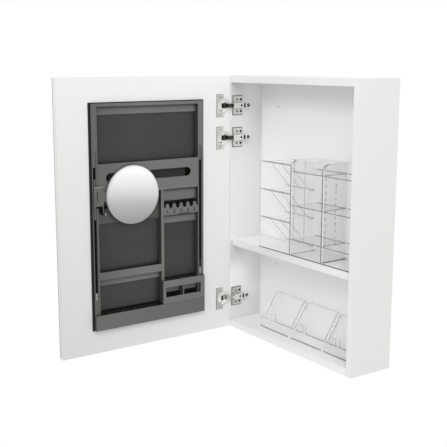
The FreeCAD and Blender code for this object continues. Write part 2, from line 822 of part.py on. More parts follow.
def make_mirror_slider():
    """Shoe inside the rail's chamber with its neck through the slot."""
    near, far, end, slot_end = rail_spans()[0]
    middle = (near + far) / 2
    lip_back = unit_proud - rail_sunk - rail_lip
    top = mirror_drop - bracket_height / 2 - slider_above_bracket
    bottom = mirror_drop + bracket_height / 2 + slider_below_bracket
    half_shoe = rail_chamber_width / 2 - slide_gap
    half_neck = rail_slot_width / 2 - slide_gap
    shoe = on_door(middle - half_shoe, middle + half_shoe, top, bottom,
                   lip_back - rail_chamber_depth + slide_gap, lip_back - slide_gap)
    neck = on_door(middle - half_neck, middle + half_neck, top, bottom, lip_back - slide_gap, unit_proud)
    post = on_door(middle - half_neck, middle + half_neck, mirror_drop - bracket_height / 2,
                   mirror_drop + bracket_height / 2, unit_proud, mirror_levels()[0])
    return joined([shoe, neck, post])


def make_mirror_bracket():
    """Plate on the slider, arm and hub that carry the round mirror."""
    near, far, end, slot_end = rail_spans()[0]
    arm_back, shell_back, glass_back = mirror_levels()
    left = (near + far) / 2 + bracket_overhang
    low = mirror_drop + bracket_height / 2
    plate = on_door(left - bracket_width, left, mirror_drop - bracket_height / 2, low, arm_back, shell_back)
    arm = on_door(mirror_from_hinge_edge, left, mirror_drop - mirror_arm_height / 2,
                  mirror_drop + mirror_arm_height / 2, arm_back, shell_back)
    hub = rod(door_face_x + arm_back, door_edge_y - mirror_from_hinge_edge, top_z - mirror_drop, V(1, 0, 0),
              hub_radius, shell_back - arm_back)
    rib_middle = left - bracket_width / 3
    rib = on_door(rib_middle - bracket_rib_width / 2, rib_middle + bracket_rib_width / 2,
                  mirror_drop - bracket_rib_height / 2, mirror_drop + bracket_rib_height / 2,
                  shell_back, shell_back + bracket_rib_rise)
    shank = on_door(left - bracket_width, left - bracket_width + hook_bar_height, low, low + hook_drop,
                    arm_back, shell_back)
    foot = on_door(left - bracket_width - hook_reach, left - bracket_width,
                   low + hook_drop - hook_bar_height, low + hook_drop, arm_back, shell_back)
    return joined([plate, arm, hub, rib, shank, foot])


def mirror_disc(back, face, radius):
    """Disc on the round mirror's axis."""
    return rod(door_face_x + back, door_edge_y - mirror_from_hinge_edge, top_z - mirror_drop, V(1, 0, 0),
               radius, face - back)


def make_mirror_shell():
    """Round moulded shell with a rim round the glass."""
    arm_back, shell_back, glass_back = mirror_levels()
    face = glass_back + mirror_glass_thickness
    shell = mirror_disc(shell_back, face, mirror_radius)
    return shell.cut(mirror_disc(glass_back, face + overrun, mirror_radius - mirror_rim))


def make_mirror_glass():
    """Round mirror glass in its shell."""
    arm_back, shell_back, glass_back = mirror_levels()
    return mirror_disc(glass_back, glass_back + mirror_glass_thickness,
                       mirror_radius - mirror_rim - contact_gap)


def clear_span():
    """Front and back of the clear organisers on the shelf."""
    front = front_y + clear_front_setback
    return front, front + clear_depth


def rack_places():
    """Left and right faces of the pocket rack."""
    left = inner_left_x + rack_from_left
    return left, left + rack_width


def tower_places():
    """Left and right faces of both towers."""
    first = rack_places()[1] + clear_spacing
    second = first + tower_left_width + clear_spacing
    return ((first, first + tower_left_width), (second, inner_right_x - tower_right_end_gap))


def make_rack_shell():
    """Sides, back and base of the pocket rack."""
    left, right = rack_places()
    front, back = clear_span()
    high = shelf_top_z + rack_height
    pieces = [box(x, x + clear_wall, front, back, shelf_top_z, high) for x in (left, right - clear_wall)]
    pieces.append(box(left, right, back - clear_wall, back, shelf_top_z, high))
    pieces.append(box(left, right, front, back, shelf_top_z, shelf_top_z + clear_wall))
    return joined(pieces)


def rack_tier_tops():
    """Height of each tier's front edge, from the top down."""
    return [shelf_top_z + rack_height - index * rack_tier_pitch for index in range(rack_tier_count)]


def make_rack_slopes():
    """Sloping front and floor of each tier."""
    left, right = rack_places()
    front, back = clear_span()
    inside = back - clear_wall
    slopes = []
    for top in rack_tier_tops():
        run = front + rack_slope_run
        low = top - rack_tier_pitch + clear_wall
        rise = clear_wall * math.hypot(rack_slope_run, top - low) / rack_slope_run
        points = ((front, top), (front, top - rise), (run, low - clear_wall), (inside, low - clear_wall),
                  (inside, low), (run, low))
        slopes.append(plate_along_x(points, left + clear_wall, right - left - 2 * clear_wall))
    return slopes


def make_rack_dividers():
    """Uprights that part each tier into columns."""
    left, right = rack_places()
    front, back = clear_span()
    inside = back - clear_wall
    dividers = []
    for top in rack_tier_tops():
        run = front + rack_slope_run
        low = top - rack_tier_pitch + clear_wall
        points = ((front, top), (run, low), (inside, low), (inside, top))
        for index in range(1, rack_column_count):
            x = left + (right - left) * index / rack_column_count - clear_wall / 2
            dividers.append(plate_along_x(points, x, clear_wall))
    return dividers


def make_tower_shell(left, right):
    """Sides with round front corners, back and base of a tower."""
    front, back = clear_span()
    high = shelf_top_z + tower_height
    pieces = []
    for x in (left, right - clear_wall):
        wall = box(x, x + clear_wall, front, back, shelf_top_z, high)
        edges = [e for e in wall.Edges
                 if all(v.Y < front + clear_wall and v.Z > high - clear_wall for v in e.Vertexes)]
        pieces.append(wall.makeFillet(tower_corner_radius, edges))
    pieces.append(box(left, right, back - clear_wall, back, shelf_top_z, high))
    pieces.append(box(left, right, front, back, shelf_top_z, shelf_top_z + clear_wall))
    return joined(pieces)


def make_tower_shelves(left, right):
    """Three shelves of a tower, glued between its sides."""
    front, back = clear_span()
    return [box(left + clear_wall, right - clear_wall, front, back - clear_wall,
                shelf_top_z + height - clear_wall, shelf_top_z + height) for height in tower_shelf_heights]


def make_bin(index):
    """Display bin: base, front lip, low sides with a round rear corner, and a back that leans away."""
    left = inner_left_x + bins_from_left + index * (bin_width + bin_gap)
    front = front_y + bin_front_setback
    low = inner_bottom_z
    rear = front + bin_base_depth
    lip_z = low + bin_lip_height
    foot_y = front + bin_back_start
    top_y = foot_y + bin_back_lean
    top = low + bin_back_height
    slant = bin_back_lean / (bin_back_height - clear_wall)
    along = clear_wall * math.hypot(1, slant)
    rim = bin_rim * math.hypot(1, slant)
    lean_at_lip = foot_y + slant * (bin_lip_height - clear_wall)
    back = ((foot_y, low), (foot_y + along, low), (top_y + along, top), (top_y, top),
            (foot_y, low + clear_wall))
    rim_outline = ((lean_at_lip - rim, lip_z), (lean_at_lip + along, lip_z), (top_y + along, top),
                   (top_y - rim, top))
    pieces = [plate_along_x(back, left, bin_width)]
    pieces.append(box(left, left + bin_width, front, rear, low, low + clear_wall))
    pieces.append(box(left, left + bin_width, front, front + clear_wall, low, lip_z))
    for x in (left, left + bin_width - clear_wall):
        side = box(x, x + clear_wall, front, rear, low, lip_z)
        corner = [e for e in side.Edges if all(v.Y > rear - contact_gap and v.Z > lip_z - contact_gap
                                               for v in e.Vertexes)]
        pieces.append(side.makeFillet(bin_corner_radius, corner))
        pieces.append(plate_along_x(rim_outline, x, clear_wall))
    return joined(pieces)


def build_case():
    """Case, shelf and their small fittings."""
    save("side_panel_left", make_side_panel(-1))
    save("side_panel_right", make_side_panel(1))
    save("top_panel", make_level_panel(inner_top_z, top_z))
    save("bottom_panel", make_level_panel(bottom_z, inner_bottom_z))
    save("back_panel", make_back_panel())
    save("hanging_rail_upper", make_hanging_rail(0))
    save("hanging_rail_lower", make_hanging_rail(lower_screws_z))
    save("case_dowels", [dowel(s, y, z, 0) for s, y, z in dowel_places()])
    save("shelf", make_shelf())
    save("shelf_pins", make_shelf_pins())


def build_hinges():
    """Three concealed hinges."""
    arm_screws = []
    plate_screws = []
    cup_screws = []
    pins = []
    for name, z in zip(hinge_names, hinge_heights):
        save("hinge_plate_" + name, make_hinge_plate(z))
        save("hinge_arm_" + name, make_hinge_arm(z))
        save("hinge_hook_" + name, make_hinge_hook(z))
        save("hinge_cup_" + name, make_hinge_cup(z))
        arm_screws += make_arm_screws(z)
        plate_screws += make_plate_screws(z)
        cup_screws += make_cup_screws(z)
        pins.append(make_hinge_pin(z))
    save("hinge_arm_screws", arm_screws)
    save("hinge_plate_screws", plate_screws)
    save("hinge_cup_screws", cup_screws)
    save("hinge_pins", pins)


def build_door():
    """Door board, its mirror, and the storage unit let into it."""
    save("door_board", make_door_board())
    save("door_mirror", make_door_mirror())
    save("unit_pan", make_unit_pan())
    save("unit_frame", make_unit_frame())
    save("unit_backing", make_unit_backing())
    save("unit_screws", make_unit_screws())
    save("unit_strips", make_unit_strips())
    save("slotted_bridge", make_slotted_bridge())
    save("centre_divider", make_centre_divider())
    save("brush_comb", make_brush_comb())
    save("ledge_lip", make_ledge_lip())
    save("bottom_tray", make_bottom_tray())
    save("tray_fingers", make_tray_fingers())
    save("accessory_box", make_accessory_box())
    for name, span in zip(("left", "right"), rail_spans()):
        save("rail_" + name, make_rail(*span))
    save("rail_catches", make_rail_catches())


def build_round_mirror():
    """Round mirror on its slider."""
    save("mirror_slider", make_mirror_slider())
    save("mirror_bracket", make_mirror_bracket())
    save("mirror_shell", make_mirror_shell())
    save("mirror_glass", make_mirror_glass())


def build_clear_organisers():
    """Clear organisers on the shelf and on the floor of the case."""
    save("rack_shell", make_rack_shell())
    save("rack_slopes", make_rack_slopes())
    save("rack_dividers", make_rack_dividers())
    for name, (left, right) in zip(("left", "right"), tower_places()):
        save("tower_shell_" + name, make_tower_shell(left, right))
        save("tower_shelves_" + name, make_tower_shelves(left, right))
    for index, name in enumerate(bin_names):
        save("bin_" + name, make_bin(index))


os.makedirs("parts", exist_ok=True)
build_case()
build_hinges()
build_door()
build_round_mirror()
build_clear_organisers()
print("nodes", len(os.listdir("parts")))
print("hinge axis", hinge_axis_x, hinge_axis_y)
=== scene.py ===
import json
import math

import bmesh
import bpy
from mathutils import Matrix, Vector


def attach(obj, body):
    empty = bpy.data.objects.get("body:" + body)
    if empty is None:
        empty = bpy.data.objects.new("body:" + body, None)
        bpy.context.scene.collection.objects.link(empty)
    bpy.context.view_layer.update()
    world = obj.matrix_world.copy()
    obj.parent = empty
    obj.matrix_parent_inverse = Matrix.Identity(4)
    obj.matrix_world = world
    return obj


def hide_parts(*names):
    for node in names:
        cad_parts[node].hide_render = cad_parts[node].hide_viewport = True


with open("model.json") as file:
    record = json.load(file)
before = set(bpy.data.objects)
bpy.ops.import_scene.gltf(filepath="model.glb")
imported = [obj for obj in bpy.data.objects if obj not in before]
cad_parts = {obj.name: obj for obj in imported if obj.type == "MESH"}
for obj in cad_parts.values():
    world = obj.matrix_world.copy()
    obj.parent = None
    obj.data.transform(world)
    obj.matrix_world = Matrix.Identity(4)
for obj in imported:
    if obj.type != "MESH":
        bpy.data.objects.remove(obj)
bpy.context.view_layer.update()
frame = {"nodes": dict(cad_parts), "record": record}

# The scene is in metres, +X right, +Z up, with the wall plane at Y = 0.
# Sizes and places below are in millimetres, unless a comment says otherwise.
MM = 0.001
X, Y, Z = range(3)
BODY_OF = {node: body for body, nodes in frame["record"]["behaviour"]["bodies"].items() for node in nodes}


def corners(node):
    """Lowest and highest corner of a CAD node."""
    points = [vertex.co / MM for vertex in frame["nodes"][node].data.vertices]
    return [Vector([pick(point[axis] for point in points) for axis in (X, Y, Z)]) for pick in (min, max)]


def face_of(node):
    """Level of a node's outermost face along +X."""
    return corners(node)[1].x


CASE_LOW, CASE_HIGH = corners("side_panel_left")

# Centre and radius of the round mirror
DISC_Y = -440.0
DISC_Z = -212.0
DISC_RADIUS = 75.5


# Materials

# Noise in the finishes: scale, detail and, where it isn't 0.5, roughness
CLOUDS = (3.0, 3.0)
PEEL = (260.0, 2.0)
BLOTCHES = (9.0, 4.0)
GRAIN = (900.0, 2.0, 0.6)
SOFT_GRAIN = (500.0, 2.0, 0.6)
DRAWN_LINES = (900.0, 3.0, 0.6)
TARNISH = (60.0, 3.0)
CHIPS = (420.0, 4.0, 0.7)
HAZE = (30.0, 3.0)
GROUND = (700.0, 3.0)
BREATH = (14.0, 2.0)
RIPPLES = (16.0, 2.0)
STREAKS = (120.0, 2.0)

# Depths of the finishes' relief
PEEL_DEPTH = 0.4
GRAIN_DEPTH = 0.3
LINE_DEPTH = 0.2
CHIP_DEPTH = 0.5
RIPPLE_DEPTH = 1.0

# Between these strengths of the noise, one tone turns into the other.
CHIP_SHARES = (0.35, 0.65)
STREAK_SHARES = (0.3, 0.7)

# The lines in drawn metal lie close together along one axis.
CLOSE_IN_X = (8.0, 1.0, 1.0)
CLOSE_IN_Y = (1.0, 14.0, 1.0)
CLOSE_IN_Z = (1.0, 1.0, 14.0)

LACQUER_COAT = {"Coat_Weight": 0.12, "Coat_Roughness": 0.25}

# Painted shade on the open door: it is darker downwards and away from its hinges.
FADE_DROP = 620.0
FADE_REACH = 640.0
DROP_SHARE = 0.2
REACH_SHARE = 0.5
BOTH_SHARE = 0.3

# Inside the case, painted light and shade change with the height, as shares of the case's height.
CLOUD_DRIFT_SHARE = 0.01
CORNER_REACH = 70.0
UNDER_SHELF_SHARES = (0.2, 0.3)
SHELF_SHARES = (0.34, 0.36)
UNDER_TOP_SHARES = (0.86, 0.92)
SHELF_SHADE_SHARE = 0.95
WARMTH_SHARE = 0.99
GLOW_TONE = (1.0, 1.0, 0.99)
PAINTED_SHADE_WHITE = (0.62, 0.62, 0.614)
WALL_LIGHT_SHARES = ((0.0, 0.74), (0.09, 0.77), (0.14, 0.88), (0.24, 0.95), (0.33, 0.98), (0.37, 0.83),
                     (0.64, 0.83), (0.74, 0.77), (0.845, 0.80), (0.9, 0.92), (1.0, 0.97))
BACK_LIGHT_SHARES = ((0.18, 0.94), (0.25, 0.84), (0.355, 0.82), (0.37, 0.95), (0.8, 0.96), (0.86, 0.98),
                     (0.925, 0.74))

# The unit's plastic takes painted shade in its corners, within a reach, and towards the door's free edge.
CREVICE_SAMPLES = 8
GREY_REACH = 12.0
PANEL_REACH = 30.0
OPEN_SHARES = (0.25, 0.95)
FAR_SIDE = -550.0
FAR_REACH = 150.0

# The round mirror: its painted reflection from its foot to its top, and painted shade on its turned rim.
DISC_REFLECTION = ((0.0, (0.28, 0.28, 0.285)), (0.34, (0.47, 0.47, 0.475)), (0.62, (0.765, 0.765, 0.765)),
              (0.9, (0.965, 0.965, 0.965)))
DISC_LEAN_SHARE = 0.1
DISC_DRIFT_SHARE = 0.02
RIM_SHARES = (0.86, 1.0)
RIM_SHADE_SHARE = 0.25
RIM_SHADE = (0.36, 0.36, 0.36)

# Clear acrylic greys at a glancing angle, and hides less from light than from the camera. The rack's cut
# edges grow faint towards the hinges, between two places.
GLANCE_BLEND = 0.35
UNSEEN_SHARE = 0.35
FAINT_PLACES = (-125.0, -90.0)


class Value:
    """A socket in a finish; sums, products and powers of values add Math nodes."""

    def __init__(self, finish, socket):
        self.finish = finish
        self.socket = socket

    def __add__(self, other):
        return self.finish.math("ADD", self, other)

    def __radd__(self, other):
        return self.finish.math("ADD", other, self)

    def __sub__(self, other):
        return self.finish.math("SUBTRACT", self, other)

    def __rsub__(self, other):
        return self.finish.math("SUBTRACT", other, self)

    def __mul__(self, other):
        return self.finish.math("MULTIPLY", self, other)

    def __rmul__(self, other):
        return self.finish.math("MULTIPLY", other, self)

    def __pow__(self, other):
        return self.finish.math("POWER", self, other)

    def even(self, low, high):
        """0 below low, 1 above high, and an even climb between them."""
        return self.finish.node("ShaderNodeMapRange", {},
                                {"Value": self, "From Min": low, "From Max": high})

    def between(self, low, high):
        """0 below low, 1 above high, and a smooth climb between them."""
        return self.finish.node("ShaderNodeMapRange", {"interpolation_type": "SMOOTHSTEP"},
                                {"Value": self, "From Min": low, "From Max": high})

    def ramp(self, stops):
        """The colour that this value has among places and their colours."""
        return self.finish.node("ShaderNodeValToRGB", {"stops": stops}, {"Fac": self})


class Finish:
    """A material, or the world, under construction."""

    def __init__(self, name, is_world=False):
        self.holder = bpy.data.worlds.new(name) if is_world else bpy.data.materials.new(name)
        self.holder.use_nodes = True
        self.tree = self.holder.node_tree
        self.tree.nodes.clear()

    def node(self, kind, settings=None, inputs=None, output=0):
        """A node with its settings made first, then the values or links of its sockets."""
        node = self.tree.nodes.new(kind)
        for key, value in (settings or {}).items():
            if key == "stops":
                set_stops(node.color_ramp, value)
            else:
                setattr(node, key, value)
        for key, value in (inputs or {}).items():
            if isinstance(value, Value):
                self.tree.links.new(value.socket, node.inputs[key])
            else:
                node.inputs[key].default_value = value
        return Value(self, node.outputs[output]) if node.outputs else None

    def math(self, operation, first, second):
        """One Math node."""
        return self.node("ShaderNodeMath", {"operation": operation}, {0: first, 1: second})

    def place(self):
        """The place on the piece, in metres."""
        return self.node("ShaderNodeTexCoord", output="Object")

    def along(self, axis):
        """One coordinate of the place on the piece, in metres."""
        return self.node("ShaderNodeSeparateXYZ", {}, {"Vector": self.place()}, axis)

    def stretched(self, scale):
        """The place on the piece, stretched along its axes."""
        return self.node("ShaderNodeMapping", {}, {"Vector": self.place(), "Scale": scale})

    def noise(self, scale, detail, roughness=0.5, place=None):
        """Noise over the piece, from 0 to 1."""
        return self.node("ShaderNodeTexNoise", {},
                         {"Vector": place or self.place(), "Scale": scale, "Detail": detail,
                          "Roughness": roughness})

    def blend(self, factor, first, second):
        """A colour between two colours."""
        return self.node("ShaderNodeMix", {"data_type": "RGBA"},
                         {0: factor, 6: colour4(first), 7: colour4(second)}, 2)

    def crevice(self, reach):
        """Openness of the surroundings: 0 deep in a corner, 1 in the open."""
        return self.node("ShaderNodeAmbientOcclusion", {"samples": CREVICE_SAMPLES},
                         {"Distance": reach * MM}, "AO")

    def bump(self, height, strength, depth):
        """A normal from a height."""
        return self.node("ShaderNodeBump", {},
                         {"Height": height, "Strength": strength, "Distance": depth * MM})

    def surface(self, **inputs):
        """The main shader with its sockets by name, straight to the output."""
        named = {key.replace("_", " "): colour4(value) if "Color" in key else value
                 for key, value in inputs.items()}
        return self.shown_by("ShaderNodeOutputMaterial", self.node("ShaderNodeBsdfPrincipled", {}, named))

    def shown_by(self, kind, shader):
        """Joins a shader to the output and gives the material or world."""
        self.node(kind, {}, {"Surface": shader})
        return self.holder


def set_stops(ramp, stops):
    """Colour stops of a ramp."""
    while len(ramp.elements) < len(stops):
        ramp.elements.new(1.0)
    for element, (position, colour) in zip(ramp.elements, stops):
        element.position = position
        element.color = colour4(colour)


def colour4(value):
    """A colour with its alpha; a linked value stays as it is."""
    return value if isinstance(value, Value) else (*value, 1.0)


def sprayed(f):
    """Slow clouds in sprayed lacquer, and the normal of its faint orange peel."""
    return f.noise(*CLOUDS), f.bump(f.noise(*PEEL), 0.06, PEEL_DEPTH)


def lacquer(name, base, shade, dull=None):
    """Sprayed white lacquer; if asked, with painted shade that makes it darker downwards and away from the
    hinges.
    """
    f = Finish(name)
    cloud, peel = sprayed(f)
    tone = f.blend(cloud, base, shade)
    if dull:
        # Painted shade: the white turns towards the dull colour downwards and away from the hinges.
        drop = f.along(Z) * (-1.0 / (FADE_DROP * MM))
        reach = f.along(Y) * (-1.0 / (FADE_REACH * MM))
        tone = f.blend(drop * DROP_SHARE + reach * REACH_SHARE + drop * reach * BOTH_SHARE, tone, dull)
    return f.surface(Base_Color=tone, Roughness=0.36 + cloud * 0.06, Normal=peel, **LACQUER_COAT)


def lit_lacquer(name, base, shade, glow):
    """White with a little painted glow, standing in for light thrown back and forth, as in a narrow gap."""
    f = Finish(name)
    cloud, peel = sprayed(f)
    return f.surface(Base_Color=f.blend(cloud, base, shade), Roughness=0.4, Emission_Color=GLOW_TONE,
                     Emission_Strength=glow, Normal=peel)


def graded(name, light_shares, deep_share, front_share, glow):
    """White lacquer with painted light and shade: its brightness follows the height, and if asked it is
    darker inwards, and near the front under the top and the shelf."""
    f = Finish(name)
    cloud, peel = sprayed(f)
    front = CASE_LOW.y * MM
    rise = f.along(Z).even(CASE_LOW.z * MM, CASE_HIGH.z * MM)
    stops = [(place, (light, light, light * WARMTH_SHARE)) for place, light in light_shares]
    tone = (rise + (cloud - 0.5) * CLOUD_DRIFT_SHARE).ramp(stops)
    # Painted shade: darker inwards, and near the front under the top and the shelf.
    inward = f.along(Y).between(front, 0.0)
    near = 1.0 - f.along(Y).between(front, front + CORNER_REACH * MM)
    under_shelf = rise.between(*UNDER_SHELF_SHARES) * (1.0 - rise.between(*SHELF_SHARES))
    recessed = rise.between(*UNDER_TOP_SHARES) + under_shelf * SHELF_SHADE_SHARE
    painted_shade_share = inward * deep_share + near * recessed * front_share
    return f.surface(Base_Color=f.blend(painted_shade_share, tone, PAINTED_SHADE_WHITE), Roughness=0.36 + cloud * 0.06,
                     Emission_Color=GLOW_TONE, Emission_Strength=glow, Normal=peel, **LACQUER_COAT)


def moulded(name, base, shade, roughness, grain=GRAIN, strength=0.25):
    """Moulded plastic with a fine spark-eroded grain and slight rub marks."""
    f = Finish(name)
    cloud = f.noise(*BLOTCHES)
    return f.surface(Base_Color=f.blend(cloud, base, shade), Roughness=roughness + cloud * 0.12,
                     Normal=f.bump(f.noise(*grain), strength, GRAIN_DEPTH))


def shaded(name, base, shade, corner, reach, roughness, far_share):
    """Moulded plastic with painted shade in its inner corners and, if asked, towards the door's free edge.
    """
    f = Finish(name)
    cloud = f.noise(*BLOTCHES)
    far_side = FAR_SIDE * MM
    far = 1.0 - f.along(Y).between(far_side, far_side + FAR_REACH * MM)
    tone = f.blend(f.crevice(reach).between(*OPEN_SHARES), corner, f.blend(cloud, base, shade))
    return f.surface(Base_Color=f.blend(far * far_share, tone, corner), Roughness=roughness + cloud * 0.12,
                     Normal=f.bump(f.noise(*GRAIN), 0.2, GRAIN_DEPTH))


def unlit(name, base, shade):
    """Depth that hardly any light reaches."""
    f = Finish(name)
    cloud = f.noise(*BLOTCHES)
    return f.surface(Base_Color=f.blend(cloud, base, shade), Roughness=0.8 + cloud * 0.1,
                     Specular_IOR_Level=0.08)


def metal(name, base, shade, roughness, stretch):
    """Plated steel with fine drawing lines."""
    f = Finish(name)
    lines = f.noise(*DRAWN_LINES, f.stretched(stretch))
    return f.surface(Base_Color=f.blend(f.noise(*TARNISH), base, shade), Metallic=1.0,
                     Roughness=roughness + lines * 0.16, Normal=f.bump(lines, 0.12, LINE_DEPTH))


def board_core(name, base, shade):
    """Bare particle board: pressed chips."""
    f = Finish(name)
    chips = f.noise(*CHIPS)
    return f.surface(Base_Color=f.blend(chips.between(*CHIP_SHARES), base, shade), Roughness=0.8,
                     Normal=f.bump(chips, 0.4, CHIP_DEPTH))


def silvered(name, tone):
    """Mirror glass."""
    f = Finish(name)
    return f.surface(Base_Color=tone, Metallic=1.0, Roughness=0.015 + f.noise(*HAZE) * 0.02)


def ground_glass(name, base, shade):
    """Ground edge of mirror glass, dark and slightly green."""
    f = Finish(name)
    grind = f.noise(*GROUND)
    return f.surface(Base_Color=f.blend(grind, base, shade), Roughness=0.22 + grind * 0.1,
                     Normal=f.bump(grind, 0.15, LINE_DEPTH))


def shaving_glass(name):
    """Slightly clouded round mirror: painted reflection brighter towards its top, painted shade at its
    turned rim.
    """
    f = Finish(name)
    radius = DISC_RADIUS * MM
    across = f.along(Y) - DISC_Y * MM
    up = f.along(Z) - DISC_Z * MM
    outward = (across * across + up * up) ** 0.5 * (1.0 / radius)
    # Painted shade on the turned rim, strongest away from the hinges, and a painted reflection brightening
    # upwards.
    turned = outward.between(*RIM_SHARES) * (RIM_SHADE_SHARE - across * (RIM_SHADE_SHARE / radius))
    climb = (up + across * DISC_LEAN_SHARE).even(-radius, radius)
    cloud = f.noise(*BREATH)
    tone = (climb + (cloud - 0.5) * DISC_DRIFT_SHARE).ramp(DISC_REFLECTION)
    return f.surface(Base_Color=f.blend(turned, tone, RIM_SHADE), Roughness=0.35 + cloud * 0.05,
                     Coat_Weight=0.15, Coat_Roughness=0.1)


def clear_sheet(name, tint, body, rim):
    """Polished clear acrylic: nearly unseen face on, greyer at a glancing angle."""
    f = Finish(name)
    glance = f.node("ShaderNodeLayerWeight", {}, {"Blend": GLANCE_BLEND}, "Facing")
    seen = f.node("ShaderNodeLightPath", output="Is Camera Ray")
    ripple = f.noise(*RIPPLES)
    return f.surface(Base_Color=tint, Roughness=0.04 + ripple * 0.03, IOR=1.49,
                     Alpha=(body + glance * rim) * (UNSEEN_SHARE + seen * (1.0 - UNSEEN_SHARE)),
                     Normal=f.bump(ripple, 0.02, RIPPLE_DEPTH))


def clear_edge(name, dark, light, alpha, faint_share=0.0):
    """Cut edge of clear acrylic, painted with the light and shade that it holds inside; fainter towards the
    hinges if asked.
    """
    f = Finish(name)
    streak = f.noise(*STREAKS)
    nearer, farther = [place * MM for place in FAINT_PLACES]
    strength = 1.0 - faint_share + f.along(X).between(nearer, farther) * faint_share
    return f.surface(Base_Color=f.blend(streak.between(*STREAK_SHARES), dark, light),
                     Roughness=0.2 + streak * 0.1, Alpha=strength * alpha)


